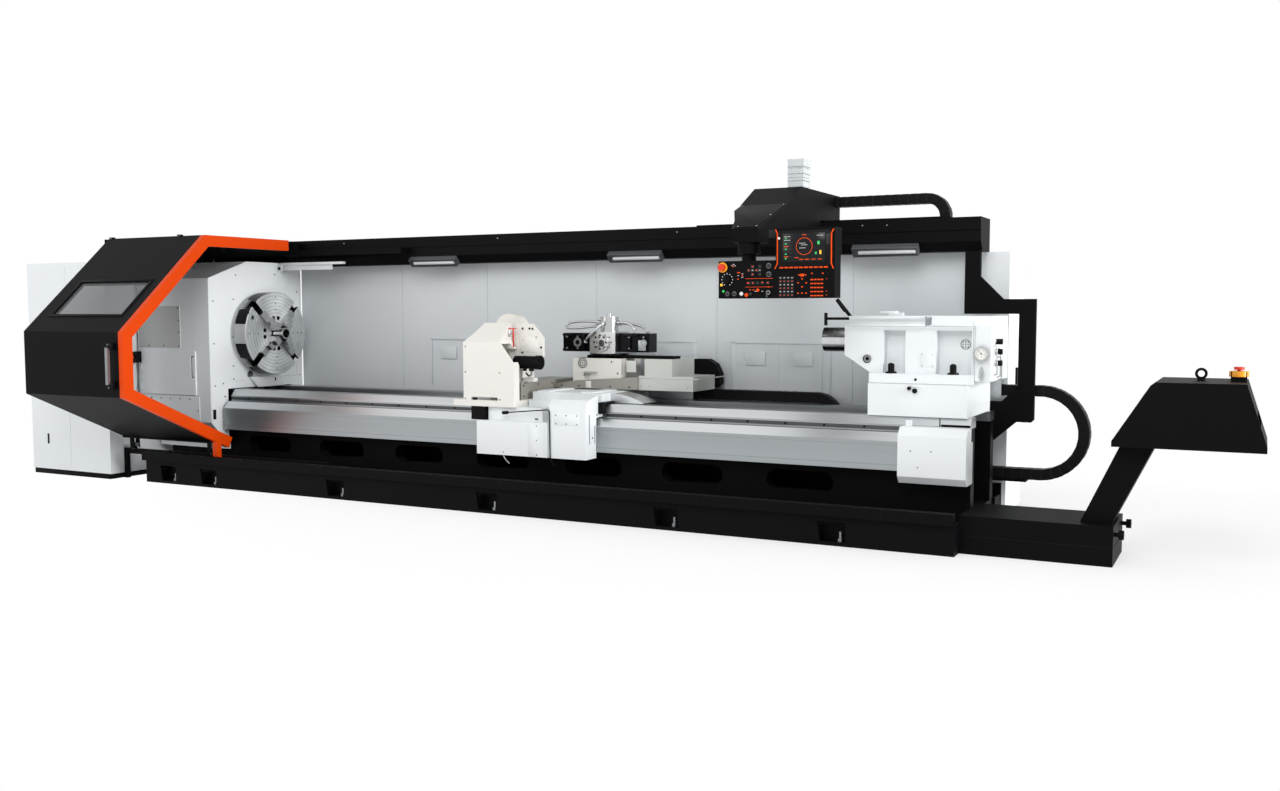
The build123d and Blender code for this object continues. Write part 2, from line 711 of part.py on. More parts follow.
# Sliding door: a folded shell round the front of the headstock, with hangers and roller brackets
door_profile = ((40, 2290), (-995, 2287), (-1903, 1433), (-1903, 883), (-892, 406))
trim_profile = ((37, 2290), (-995, 2287), (-1903, 1433), (-1903, 883), (-778, 352))
trim_left = door_right - door_trim_width
roller_radius = 30
roller_axle = 8
roller_places = (-1040, -10)
roller_height = door_rail_top + roller_radius + 0.3
slope_run = door_profile[1][0] - door_profile[2][0]
slope_rise = door_profile[1][1] - door_profile[2][1]
slope = sqrt(slope_run ** 2 + slope_rise ** 2)
slanted = Plane(
    origin=(0, door_profile[2][0], door_profile[2][1]),
    x_dir=(1, 0, 0),
    z_dir=(0, -slope_rise / slope, slope_run / slope),
)
glass_width = 880
glass_height = 417
glass_middle = (-480, 423)
glass_inset = 6
glass_thickness = 8
with BuildPart() as door_shell:
    along_x(door_left, trim_left, banded(door_profile, door_skin))
    with BuildSketch(slanted) as opening:
        with Locations(glass_middle):
            Rectangle(glass_width - 30, glass_height - 30)
    extrude(to_extrude=opening.sketch, amount=-door_skin - 5, mode=Mode.SUBTRACT)
    with BuildSketch(slanted) as rebate:
        with Locations(glass_middle):
            Rectangle(glass_width, glass_height)
    extrude(to_extrude=rebate.sketch, amount=-glass_inset - glass_thickness, mode=Mode.SUBTRACT)
    for hanger in (-1050, -60):
        block(hanger, hanger + 100, 30, 290, 2262, 2290)
        block(hanger, hanger + 100, 215, 290, top_rail_top + rail_gap, 2262)
    block(door_left, trim_left, -915, -866, 400, 412)
    for place in roller_places:
        block(place - 26, place + 26, -866, -856, 296, 412)
        block(place - 26, place + 26, -804, -794, 296, 412)
        block(place - 26, place + 26, -856, -804, 400, 412)
        rod_y(place, door_rail_front - 10, door_rail_rear + 10, roller_height, roller_axle)
door_shell.part.label = "door_shell"
export_step(door_shell.part, "parts/door_shell.step")

# Bright band that closes the open edge of the door
with BuildPart() as door_trim:
    along_x(trim_left, door_right, banded(trim_profile, door_trim_band))
    block(trim_left, door_right, -924, -869, 257, 440)
door_trim.part.label = "door_trim"
export_step(door_trim.part, "parts/door_trim.step")

with BuildPart() as door_window:
    with BuildSketch(slanted.offset(-glass_inset)) as pane:
        with Locations(glass_middle):
            Rectangle(glass_width, glass_height)
    extrude(to_extrude=pane.sketch, amount=-glass_thickness)
door_window.part.label = "door_window"
export_step(door_window.part, "parts/door_window.step")

# Bow handle on the front of the door
with BuildPart() as door_handle:
    along_x(20, 50, (
        (-1903, 960), (-1903, 990), (-1950, 1010), (-1950, 1290), (-1903, 1310), (-1903, 1340),
        (-1945, 1330), (-1975, 1305), (-1975, 995), (-1945, 970),
    ))
door_handle.part.label = "door_handle"
export_step(door_handle.part, "parts/door_handle.step")

# Door rollers on the lower rail
with BuildPart() as door_roller_left:
    rod_y(roller_places[0], door_rail_front, door_rail_rear, roller_height, roller_radius)
    rod_y(roller_places[0], door_rail_front, door_rail_rear, roller_height,
          roller_axle + running_fit, Mode.SUBTRACT)
door_roller_left.part.label = "door_roller_left"
export_step(door_roller_left.part, "parts/door_roller_left.step")

with BuildPart() as door_roller_right:
    rod_y(roller_places[1], door_rail_front, door_rail_rear, roller_height, roller_radius)
    rod_y(roller_places[1], door_rail_front, door_rail_rear, roller_height,
          roller_axle + running_fit, Mode.SUBTRACT)
door_roller_right.part.label = "door_roller_right"
export_step(door_roller_right.part, "parts/door_roller_right.step")

# Hinged service door in the front of the headstock casing
leaf_thickness = 16
leaf_gap = 0.5
leaf_front = casing_front - leaf_gap - leaf_thickness
with BuildPart() as access_door:
    block(access_left, access_right, leaf_front, casing_front - leaf_gap, access_low, access_high)
    block(-430, -388, leaf_front, leaf_front + 10, 975, 1182, Mode.SUBTRACT)
    for barrel in (access_low + 40, access_high - 190):
        rod_z(access_left, leaf_front, barrel, barrel + 60, 7)
access_door.part.label = "access_door"
export_step(access_door.part, "parts/access_door.step")

# Pendant: a boxed arm that runs on the beam, with the swivelling panel under its front end
pendant_left = 5075
pendant_right = 5457
arm_low = 2175
arm_top = 2535
arm_front = -1000
arm_rear = 780
arm_clear_y = 310
corner_right = 5257
swivel_low = 2000
swivel_top = 2080
swivel_x = 5354
swivel_y = -912
collar_radius = 80
neck_radius = 50
with BuildPart() as pendant_arm:
    along_x(pendant_left, pendant_right, (
        (arm_front, arm_low), (-405, 2390), (-131, arm_top), (arm_rear, arm_top),
        (arm_rear, beam_rail_top + rail_gap), (arm_clear_y, beam_rail_top + rail_gap),
        (arm_clear_y, arm_low),
    ))
    prism(Plane.XY.offset(arm_low - 75), (
        (pendant_left, arm_front - 1), (corner_right, arm_front - 1), (pendant_left, -405),
    ), 500, Mode.SUBTRACT)
    block(corner_right, pendant_right, arm_front, arm_front + 200, swivel_top, arm_low + 1)
    block(5140, pendant_right, arm_rear - 118, arm_rear - 12, arm_top - 96, arm_top - 10, Mode.SUBTRACT)
    rod_z(swivel_x, swivel_y, swivel_low, swivel_top, collar_radius)
    rod_z(swivel_x, swivel_y, swivel_low, swivel_top - 8, neck_radius + running_fit, Mode.SUBTRACT)
pendant_arm.part.label = "pendant_arm"
export_step(pendant_arm.part, "parts/pendant_arm.step")

# Square signal tower of three lenses parted by grooves, flush with the right side of the pendant arm
tower_width = 126
tower_depth = 150
tower_front = -100
tower_groove = 5
lens_height = 66
with BuildPart() as signal_tower:
    for number in range(3):
        lens_low = arm_top + number * (lens_height + tower_groove)
        block(pendant_right - tower_width, pendant_right, tower_front, tower_front + tower_depth,
              lens_low + tower_groove, lens_low + tower_groove + lens_height)
        block(pendant_right - tower_width + tower_groove, pendant_right - tower_groove,
              tower_front + tower_groove, tower_front + tower_depth - tower_groove,
              lens_low, lens_low + tower_groove)
signal_tower.part.label = "signal_tower"
export_step(signal_tower.part, "parts/signal_tower.step")

# Operator panel on its neck, with the taller screen housing at its right, and the controls that move
panel_front = -1000
panel_rear = -874
stop_place = (5191, 1908)
dial_place = (5226, 1823)
key_place = (5538, 1731)
control_stem = 8
with BuildPart() as operator_panel:
    block(5161, 5586, panel_front, panel_rear, 1692, 1952)
    block(5586, 6008, panel_front, panel_rear, 1692, 2000)
    block(5586, 6008, panel_front, panel_rear + 20, 2000, 2168)
    rod_z(swivel_x, swivel_y, 1952, 2070, neck_radius)
    rod_y(stop_place[0], panel_front, panel_front + 40, stop_place[1], stem_radius + stem_fit, Mode.SUBTRACT)
    rod_y(dial_place[0], panel_front, panel_front + 30, dial_place[1], control_stem + stem_fit, Mode.SUBTRACT)
    rod_y(key_place[0], panel_front - 12, panel_front, key_place[1], 16)
operator_panel.part.label = "operator_panel"
export_step(operator_panel.part, "parts/operator_panel.step")

with BuildPart() as emergency_button:
    rod_y(stop_place[0], panel_front - 12, panel_front + 30, stop_place[1], stem_radius)
    rod_y(stop_place[0], panel_front - 30, panel_front - 12, stop_place[1], 24)
emergency_button.part.label = "emergency_button"
export_step(emergency_button.part, "parts/emergency_button.step")

with BuildPart() as mode_dial:
    rod_y(dial_place[0], panel_front - 4, panel_front + 28, dial_place[1], control_stem)
    rod_y(dial_place[0], panel_front - 24, panel_front - 4, dial_place[1], 24)
    block(dial_place[0] - 4, dial_place[0] + 4, panel_front - 34, panel_front - 24,
          dial_place[1] - 20, dial_place[1] + 20)
mode_dial.part.label = "mode_dial"
export_step(mode_dial.part, "parts/mode_dial.step")


def chain_loop(left, right, low, bend, y0, y1):
    """A flat cable chain seen from the side: an upper run, a half bend on the right, a lower run."""
    middle = low + bend
    centre = right - bend
    inside = bend - link_height
    with BuildSketch(Plane.XZ.offset(-y1)) as loop:
        with Locations((centre, middle)):
            Circle(bend)
            Circle(inside, mode=Mode.SUBTRACT)
            with Locations((-bend, 0)):
                Rectangle(2 * bend, 2 * bend, mode=Mode.SUBTRACT)
        with Locations(((left + centre) / 2, middle + bend - link_height / 2)):
            Rectangle(centre - left, link_height)
        with Locations(((left + centre) / 2, low + link_height / 2)):
            Rectangle(centre - left, link_height)
    extrude(to_extrude=loop.sketch, amount=y1 - y0)


# Cable chains of the pendant, the tailstock and the carriage
with BuildPart() as pendant_chain:
    chain_loop(5200, 6380, pendant_chain_low, 183, 667, 763)
pendant_chain.part.label = "pendant_chain"
export_step(pendant_chain.part, "parts/pendant_chain.step")

with BuildPart() as tailstock_chain:
    chain_loop(6520, tail_chain_right, tail_chain_low, tail_chain_bend, lane_front, lane_rear)
tailstock_chain.part.label = "tailstock_chain"
export_step(tailstock_chain.part, "parts/tailstock_chain.step")

with BuildPart() as carriage_chain:
    chain_loop(3660, cart_chain_right, cart_chain_low, cart_chain_bend, lane_front, lane_rear)
carriage_chain.part.label = "carriage_chain"
export_step(carriage_chain.part, "parts/carriage_chain.step")

# Saddle across both ways, with keepers, the cross ways and the trough of its cable chain
saddle_low = way_height + slide_gap
saddle_step = 880
saddle_top = 945
cross_way_top = 954.5
cart_trough_top = cart_chain_low + 2 * cart_chain_bend + 4
saddle_left = 2900
saddle_right = 3900
saddle_front = -440
saddle_rear = 384
cross_way_left = 3250
keeper_left = 2960
keeper_front = -500
trough_left = 3640
trough_right = 4300
curve_right = 4200
with BuildPart() as saddle:
    block(saddle_left, cross_way_left, saddle_front, saddle_rear, saddle_low, saddle_step)
    block(cross_way_left, saddle_right, saddle_front, saddle_rear, saddle_low, saddle_top)
    block(keeper_left, saddle_right, keeper_front, saddle_front, 764, 830)
    block(cross_way_left, saddle_right, keeper_front, saddle_front, 830, saddle_step)
    block(keeper_left, saddle_right, saddle_front, rack_front + 34, rack_top + 2, bed_top - 2)
    block(keeper_left, saddle_right, bed_rear + 11, bed_rear + 22, 770, saddle_low + 10)
    for way in (3290, 3700):
        block(way, way + 110, saddle_front + 20, saddle_rear, saddle_top, cross_way_top)
    # Bracket and trough of the carriage's cable chain
    block(3700, 3850, saddle_rear, lane_front - 4, saddle_step, 940)
    trough_low = cart_trough_top - 96
    block(trough_left, trough_right, lane_front - 6, lane_front - 2, trough_low, cart_trough_top)
    block(trough_left, trough_right, lane_rear + 2, lane_rear + 6, trough_low, cart_trough_top)
    block(trough_left, trough_right, lane_front - 6, lane_rear + 6, trough_low, trough_low + 8)
    # Curved cover over the front way at the right
    with BuildSketch(Plane.XZ.offset(60)) as curve:
        with BuildLine():
            Line((saddle_right, saddle_low + 4), (saddle_right, saddle_top - 5))
            RadiusArc((saddle_right, saddle_top - 5), (curve_right, saddle_low + 8), 640)
            Line((curve_right, saddle_low + 8), (curve_right, saddle_low + 4))
            Line((curve_right, saddle_low + 4), (saddle_right, saddle_low + 4))
        make_face()
    extrude(to_extrude=curve.sketch, amount=236)
saddle.part.label = "saddle"
export_step(saddle.part, "parts/saddle.step")

# Apron: front box, a foot that reaches under the way cover to the pinion, and the right column
apron_front = -700
apron_back = -530
apron_left = 2870
apron_right = 3550
apron_low = 440
apron_top = 718
pinion_x = 3250
pinion_radius = 68
pinion_height = rack_low - pinion_radius - 2
pinion_axle = 16
with BuildPart() as apron:
    block(apron_left, apron_right, apron_front, apron_back, apron_low, apron_top)
    block(keeper_left, apron_right - 70, apron_front + 40, keeper_front, apron_top, 830)
    block(apron_left, apron_right, apron_back, saddle_front, apron_low, cover_low - 8)
    block(pinion_x - 130, pinion_x + 130, -506, saddle_front, cover_low - 8, 690)
    along_x(apron_right + 20, saddle_right, (
        (apron_front, apron_low), (apron_front, 870), (apron_front + 50, 905), (keeper_front, 940),
        (keeper_front, 760), (apron_back, 760), (apron_back, apron_low),
    ))
    block(apron_right, apron_right + 20, apron_front + 20, apron_back, apron_low, 760)
    rod_y(pinion_x, -480, saddle_front, pinion_height, pinion_axle + running_fit, Mode.SUBTRACT)
apron.part.label = "apron"
export_step(apron.part, "parts/apron.step")

# Pinion that meshes with the rack from below
with BuildPart() as z_pinion:
    rod_y(pinion_x, -428, -394, pinion_height, pinion_radius)
    rod_y(pinion_x, -478, -428, pinion_height, pinion_axle)
z_pinion.part.label = "z_pinion"
export_step(z_pinion.part, "parts/z_pinion.step")

# Way wiper at the right of the carriage, and the junction block under the left end of the table
with BuildPart() as way_wipers:
    along_x(saddle_right, saddle_right + 40, (
        (keeper_front, saddle_step), (keeper_front, 790), (saddle_front, 790),
        (saddle_front, saddle_low + 3), (-300, saddle_low + 3), (-300, saddle_step),
    ))
    block(2815, 2950, -695, -560, 720, 830)
way_wipers.part.label = "way_wipers"
export_step(way_wipers.part, "parts/way_wipers.step")

# Fixed grey cover of the cross feed and the drive housing that stands on it
cross_cover_right = 3200
cross_cover_top = 1020
with BuildPart() as cross_cover:
    block(saddle_left, cross_cover_right, -540, saddle_rear, saddle_step, cross_cover_top)
    block(3000, 3195, -505, -330, cross_cover_top, 1180)
    along_y(-505, -475, (
        (3060, 1150), (3060, 1400), (3130, 1500), (3290, 1500), (3390, 1390), (3390, 1240),
        (3320, 1150),
    ))
    block(3000, 3195, -475, -330, 1180, 1436)
cross_cover.part.label = "cross_cover"
export_step(cross_cover.part, "parts/cross_cover.step")

# Cross-feed motor
with BuildPart() as feed_motor:
    rod_x(3170, 3370, -565, 1190, 52)
    rod_x(3370, 3410, -565, 1190, 56)
    block(3170, 3300, -540, -505, 1160, 1220)
feed_motor.part.label = "feed_motor"
export_step(feed_motor.part, "parts/feed_motor.step")

# Cream table plate in front of the way, and the guard of the cross-feed drive that stands on it
guard_left = 2742
guard_right = 3240
with BuildPart() as drive_guard:
    along_x(guard_left, guard_right, (
        (-700, saddle_step), (-700, 1353), (-600, 1450), (-545, 1508), (-415, 1508), (-415, 1140),
        (-600, 1140), (-600, saddle_step),
    ))
    along_y(-701, -414, ((3100, 1356), (3100, 1520), (3260, 1520), (3260, 1150), (3245, 1150),
            (3230, 1190)), Mode.SUBTRACT)
    along_y(-701, -414, ((2700, 1360), (2742, 1353), (2800, 1420), (2860, 1520), (2700, 1520)),
            Mode.SUBTRACT)
    block(guard_left + 12, guard_right - 12, -688, -560, saddle_step, 1340, Mode.SUBTRACT)
    block(2990, guard_right, -625, -414, saddle_step, 1300, Mode.SUBTRACT)
    block(2990, guard_right, -520, -414, saddle_step, 1512, Mode.SUBTRACT)
    block(2820, 3078, -701, -688, saddle_step, 905, Mode.SUBTRACT)
    with BuildSketch(Plane.XZ.offset(305)) as dome:
        with Locations((3000, 1440)):
            Circle(142)
        with Locations((3000, 1240)):
            Rectangle(500, 400, mode=Mode.SUBTRACT)
    extrude(to_extrude=dome.sketch, amount=110)
    block(2640, 3235, -700, -440, saddle_step - 50, saddle_step)
drive_guard.part.label = "drive_guard"
export_step(drive_guard.part, "parts/drive_guard.step")

# Cross slide that carries the turret, with its service boxes at the rear
turret_x = 3665
turret_y = 115
turret_low = 1234.5
slide_right = 4003
slide_low = cross_way_top + slide_gap
with BuildPart() as cross_slide:
    along_y(-30, 375, (
        (cross_cover_right + 1, slide_low), (cross_cover_right + 1, 985), (3420, 1020),
        (slide_right, 1060), (slide_right, slide_low),
    ))
    block(3385, 3850, -20, 330, 1010, 1210)
    block(3480, 4290, 60, 200, 1210, 1233)
    rod_z(turret_x, turret_y, 1233, turret_low - slide_gap, 140)
cross_slide.part.label = "cross_slide"
export_step(cross_slide.part, "parts/cross_slide.step")

with BuildPart() as rear_boxes:
    block(slide_right, 4498, 0, 430, 952, 1071)
    block(4058, 4308, 0, 520, 1071, 1210)
    along_y(432, 520, (
        (4308, 1200), (4430, 1200), (4500, 1160), (4540, 1080), (4540, 1000), (4500, 958), (4308, 958),
    ))
rear_boxes.part.label = "rear_boxes"
export_step(rear_boxes.part, "parts/rear_boxes.step")

# Turret: steel head with a flanged tool bore, round cap and dark tool blocks on both sides
turret_disc_radius = 165
turret_disc_top = 1250
cube_half = 122
cap_radius = 76
cap_top = 1556
turret_top = 1430
tool_bore = 28
tool_height = 1335
flange_front = turret_y - cube_half - 16
flange_outer = 66
flange_holes = 10
flange_hole_circle = 50
with BuildPart() as turret_head:
    rod_z(turret_x, turret_y, turret_low, turret_disc_top, turret_disc_radius)
    block(turret_x - cube_half, turret_x + cube_half, turret_y - cube_half, turret_y + cube_half,
          turret_disc_top, turret_top)
    rod_z(turret_x, turret_y, turret_top, cap_top, cap_radius)
    rod_z(turret_x, turret_y, cap_top, cap_top + 24, 20)
    rod_y(turret_x, flange_front, turret_y - cube_half, tool_height, flange_outer)
    rod_y(turret_x, flange_front, turret_y - 20, tool_height, tool_bore, Mode.SUBTRACT)
    with BuildSketch(Plane.XZ.offset(-flange_front)) as holes:
        with Locations((turret_x, tool_height)):
            with PolarLocations(flange_hole_circle, flange_holes):
                Circle(5)
    extrude(to_extrude=holes.sketch, amount=-12, mode=Mode.SUBTRACT)
turret_head.part.label = "turret_head"
export_step(turret_head.part, "parts/turret_head.step")

holder_reach = 415
holder_low = 1262
holder_top = 1418
holder_half = 66
with BuildPart() as tool_holders:
    block(turret_x - holder_reach, turret_x - cube_half, turret_y - holder_half, turret_y + holder_half,
          holder_low, holder_top)
    rod_y(turret_x - 260, turret_y - 84, turret_y - holder_half, tool_height + 5, 62)
    block(turret_x + cube_half, turret_x + holder_reach, turret_y - 70, turret_y + holder_half,
          holder_low, holder_top)
    block(turret_x + 165, turret_x + 245, turret_y - 84, turret_y - 70, 1280, 1400)
    block(turret_x - 50, turret_x + 50, turret_y + cube_half, turret_y + 380, 1300, 1380)
tool_holders.part.label = "tool_holders"
export_step(tool_holders.part, "parts/tool_holders.step")

# Braided coolant hoses from the turret's cap to the tool blocks, from point to point about the turret's axis
hose_radius = 10
hose_start = cap_radius + 2
hose_routes = (
    ((-hose_start, -10, 1512), (-190, -14, 1518), (-330, -26, 1514), (-394, -45, 1492),
     (-392, -62, 1466), (-325, -74, 1455), (-190, -60, 1466), (-86, -36, 1480)),
    ((hose_start, -10, 1508), (150, -16, 1510), (215, -30, 1494), (262, -40, 1462), (268, -42, 1422)),
    ((hose_start, 28, 1496), (165, 30, 1500), (270, 30, 1484), (345, 24, 1454), (356, 20, 1422)),
    ((-10, -hose_start - 8, 1506), (-22, -110, 1486), (-64, -144, 1440), (-118, -152, 1394),
     (-168, -120, 1352), (-176, -84, 1338)),
)


def corner_radii(points):
    """The arc at each inner point of a route: 0.45 of the shorter run over the tangent of half the turn."""
    radii = []
    for before, here, after in zip(points, points[1:], points[2:]):
        first = Vector(here) - Vector(before)
        second = Vector(after) - Vector(here)
        turn = radians(first.get_angle(second))
        radii.append(0.45 * min(first.length, second.length) / tan(turn / 2))
    return radii


with BuildPart() as coolant_hoses:
    for route in hose_routes:
        places = [(turret_x + x, turret_y + y, z) for x, y, z in route]
        radii = corner_radii(places)
        print("hose arc radii", [round(radius) for radius in radii])
        with BuildLine() as path:
            FilletPolyline(*places, radius=radii)
        with BuildSketch(Plane(origin=path.line @ 0, z_dir=path.line % 0)) as section:
            Circle(hose_radius)
        sweep(sections=section.sketch, path=path.line)
coolant_hoses.part.label = "coolant_hoses"
export_step(coolant_hoses.part, "parts/coolant_hoses.step")

# Tailstock: lower body clamped on the ways
tail_base_top = 1094
tail_base_left = 6065
tail_base_right = 6770
with BuildPart() as tailstock_base:
    block(tail_base_left, tail_base_right, tail_front, bed_rear, way_height + slide_gap, tail_base_top)
    block(6300, 6560, -200, 200, bed_top - 10, way_height + 10)
    block(6300, 6560, bed_front + bed_wall + 4, bed_rear - bed_wall - 4, bed_top - 50, bed_top - slide_gap)
tailstock_base.part.label = "tailstock_base"
export_step(tailstock_base.part, "parts/tailstock_base.step")

# Upper body with the quill bore, clamping pockets and the rear arm of the cable chain
tail_body_top = spindle_height + 110
tail_cover_top = tail_body_top + 68
tail_body_left = 5870
tail_body_right = 6800
tail_ledge_top = 1160
gauge_plate_left = 6804
gauge_plate_right = 6912
pocket_sill = 34
tail_body_rear = 320
tail_chain_top = tail_chain_low + 2 * tail_chain_bend
quill_left = 5610
quill_back = 6260
with BuildPart() as tailstock_body:
    block(tail_base_left, tail_body_right, tail_front + 20, tail_body_rear, tail_base_top, tail_ledge_top)
    along_y(tail_body_front, tail_body_rear, (
        (tail_body_left, tail_body_top),
        (tail_body_left, spindle_height - 105),
        (tail_body_left + 40, spindle_height - 128),
        (tail_base_left, tail_ledge_top),
        (tail_body_right, tail_ledge_top),
        (tail_body_right, tail_body_top),
    ))
    for left, right in ((6158, 6316), (6534, 6780)):
        block(left, right, tail_body_front, tail_body_front + 90, tail_ledge_top,
              tail_body_top - pocket_sill, Mode.SUBTRACT)
    block(gauge_plate_left, gauge_plate_right, tail_body_front, 260, 1116, tail_body_top)
    block(tail_body_right, gauge_plate_left, tail_body_front + 10, 250, 1126, tail_body_top)
    rod_x(tail_body_left, quill_back + 200, 0, spindle_height, quill_radius + running_fit, Mode.SUBTRACT)
    block(6480, 6840, tail_body_rear, lane_rear + 6, tail_base_top, tail_base_top + 16)
    block(6480, 6840, lane_front - 6, lane_front - 2, tail_chain_top - 92, tail_base_top)
    block(6480, 6840, lane_rear + 2, lane_rear + 6, tail_chain_top - 92, tail_base_top)
    # Sheet covers on top
    for left, right in ((tail_body_left + 25, 6450), (6495, gauge_plate_right - 2)):
        along_x(left, right, (
            (tail_body_front + 10, tail_body_top), (tail_body_front + 30, tail_cover_top),
            (260, tail_cover_top), (260, tail_body_top),
        ))
    block(6130, 6240, -120, -100, tail_cover_top, tail_cover_top + 24)
tailstock_body.part.label = "tailstock_body"
export_step(tailstock_body.part, "parts/tailstock_body.step")

with BuildPart() as quill:
    rod_x(quill_left, quill_back, 0, spindle_height, quill_radius)
    rod_x(quill_left, quill_left + 160, 0, spindle_height, 32, Mode.SUBTRACT)
quill.part.label = "quill"
export_step(quill.part, "parts/quill.step")

# Quill clamp lever over the left end of the body
lever_x = 5840
lever_y = -60
lever_z = spindle_height + 160
lever_pin = 6
with BuildPart() as clamp_lever:
    rod_y(lever_x, lever_y - 30, lever_y - 7, lever_z, 18)
    along_y(lever_y - 26, lever_y - 12, (
        (lever_x - 14, lever_z), (lever_x + 8, lever_z + 8), (lever_x - 100, lever_z + 140),
        (lever_x - 125, lever_z + 126),
    ))
    rod_y(lever_x, lever_y - 30, lever_y - 7, lever_z, lever_pin + stem_fit, Mode.SUBTRACT)
clamp_lever.part.label = "clamp_lever"
export_step(clamp_lever.part, "parts/clamp_lever.step")

# Clamping nuts in the pockets, gauge, cover disc and control knobs
arm_left = 5620
with BuildPart() as tailstock_fittings:
    for nut_x in (6217, 6656):
        rod_z(nut_x, tail_body_front - 5, tail_ledge_top, tail_ledge_top + 12, 34)
        with BuildSketch(Plane.XY.offset(tail_ledge_top + 12)) as hexagon:
            with Locations((nut_x, tail_body_front - 5)):
                RegularPolygon(24, 6)
        extrude(to_extrude=hexagon.sketch, amount=44)
    rod_y(6850, tail_body_front - 22, tail_body_front, spindle_height - 80, 44)
    rod_y(6039, tail_body_front - 8, tail_body_front, spindle_height - 130, 30)
    for knob_drop in (0, 70, 150):
        rod_x(gauge_plate_right, gauge_plate_right + 38, -200, spindle_height - knob_drop, 20)
    # Bracket arm that carries the clamp lever
    block(arm_left, tail_body_left + 25, lever_y - 6, lever_y + 14, lever_z - 14, lever_z + 6)
    block(arm_left, arm_left + 20, lever_y - 6, lever_y + 14, lever_z - 55, lever_z + 40)
    rod_y(lever_x, lever_y - 30, lever_y, lever_z, lever_pin)
tailstock_fittings.part.label = "tailstock_fittings"
export_step(tailstock_fittings.part, "parts/tailstock_fittings.step")
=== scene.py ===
# %% [markdown]
# # A flat-bed turning lathe, dressed around its CAD frame
# The frame holds every solid of the machine in metres, with +X along the spindle, +Y to the rear wall and
# +Z up. This script gives each solid its finish and adds the small pieces that the solids leave out.

# %% Load the frame
import math

import bmesh
import bpy
from mathutils import Matrix, Vector


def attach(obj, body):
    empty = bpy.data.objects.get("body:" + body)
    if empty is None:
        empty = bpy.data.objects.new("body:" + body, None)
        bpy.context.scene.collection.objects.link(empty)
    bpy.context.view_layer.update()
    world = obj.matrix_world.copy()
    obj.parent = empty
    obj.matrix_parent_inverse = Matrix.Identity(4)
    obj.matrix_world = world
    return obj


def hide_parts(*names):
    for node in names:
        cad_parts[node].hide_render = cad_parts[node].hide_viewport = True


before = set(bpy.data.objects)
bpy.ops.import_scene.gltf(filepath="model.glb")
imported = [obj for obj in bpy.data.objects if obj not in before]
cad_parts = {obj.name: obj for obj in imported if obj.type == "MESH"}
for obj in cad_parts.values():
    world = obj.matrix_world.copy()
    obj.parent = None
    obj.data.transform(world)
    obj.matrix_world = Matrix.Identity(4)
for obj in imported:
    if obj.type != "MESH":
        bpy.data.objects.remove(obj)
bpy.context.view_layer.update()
scene = bpy.context.scene
scene.view_settings.view_transform = "Standard"

# %% [markdown]
# ## Camera
# The camera stands where the vanishing points of the bed and of the wall's seams put it: to the right of the
# machine and a little below the top of the wall, looking left across it.

# %% Set the camera
lens = bpy.data.cameras.new("camera")
lens.sensor_width = 36.0
lens.lens = 33.53
camera = bpy.data.objects.new("camera", lens)
camera.location = (8.56, -8.71, 1.612)
camera.rotation_euler = (math.radians(85.9), math.radians(0.07), math.radians(27.55))
scene.collection.objects.link(camera)
scene.camera = camera
print("camera", tuple(round(v, 2) for v in camera.location))

# %% [markdown]
# ## Nodes
# The world and every material are made of nodes. One function adds a node and wires its inputs, and another
# turns a hex colour into the linear values that a shader takes.


# %% Colour and node helpers
def linear(code):
    """An sRGB hex colour as the linear values that a shader takes."""
    channels = [int(code[i:i + 2], 16) / 255 for i in (1, 3, 5)]
    return [c / 12.92 if c <= 0.04045 else ((c + 0.055) / 1.055) ** 2.4 for c in channels] + [1.0]


def shade(code, share):
    """The same colour with a share of its light taken away."""
    return [c * (1.0 - share) for c in linear(code)[:3]] + [1.0]


def wire(tree, node, inputs):
    """Sets a node's inputs, each given as a value or as a socket to link."""
    for name, value in inputs.items():
        if isinstance(value, bpy.types.NodeSocket):
            tree.links.new(value, node.inputs[name])
        else:
            node.inputs[name].default_value = value


def add(tree, kind, inputs=None, **settings):
    """Adds one shader node, with its settings and its inputs."""
    made = tree.nodes.new("ShaderNode" + kind)
    for key, value in settings.items():
        setattr(made, key, value)
    wire(tree, made, inputs or {})
    return made


def blank(name):
    """A material with its shader and nothing else: the material, its tree and the shader."""
    material = bpy.data.materials.new(name)
    material.use_nodes = True
    material.node_tree.nodes.clear()
    shader = add(material.node_tree, "BsdfPrincipled")
    add(material.node_tree, "OutputMaterial", {"Surface": shader.outputs[0]})
    return material, material.node_tree, shader


def tinted(tree, factor, low, high):
    """A ramp between two colours, driven by a factor."""
    ramp = add(tree, "ValToRGB", {"Fac": factor})
    ramp.color_ramp.elements[0].position = 0.3
    ramp.color_ramp.elements[0].color = low
    ramp.color_ramp.elements[1].position = 0.7
    ramp.color_ramp.elements[1].color = high
    return ramp.outputs["Color"]


def raised(tree, height, strength, distance):
    """The normal of a surface that a height pattern raises by a distance in metres."""
    return add(tree, "Bump", {"Height": height, "Strength": strength, "Distance": distance}).outputs["Normal"]


def seen_directly(tree):
    """1 on rays from the camera, off a shiny surface or through glass, and 0 on the rays that light things."""
    rays = add(tree, "LightPath").outputs
    seen = rays["Is Camera Ray"]
    for kind in ("Is Glossy Ray", "Is Transmission Ray"):
        seen = add(tree, "Math", {0: seen, 1: rays[kind]}, operation="MAXIMUM").outputs[0]
    return seen


white = (1.0, 1.0, 1.0, 1.0)
print("white paint", [round(channel, 3) for channel in linear("#E2E6E8")[:3]])

# %% [markdown]
# ## Light
# The machine is lit evenly, as in a studio with white walls. A broad lamp over the operator's side gives the
# sheet metal its bright tops, a weaker one fills the left, and a far one at the right lights the chuck's face.
# The world looks white to the camera, in reflections and through glass, and is weaker as a lamp, so that
# white paint keeps its shading.

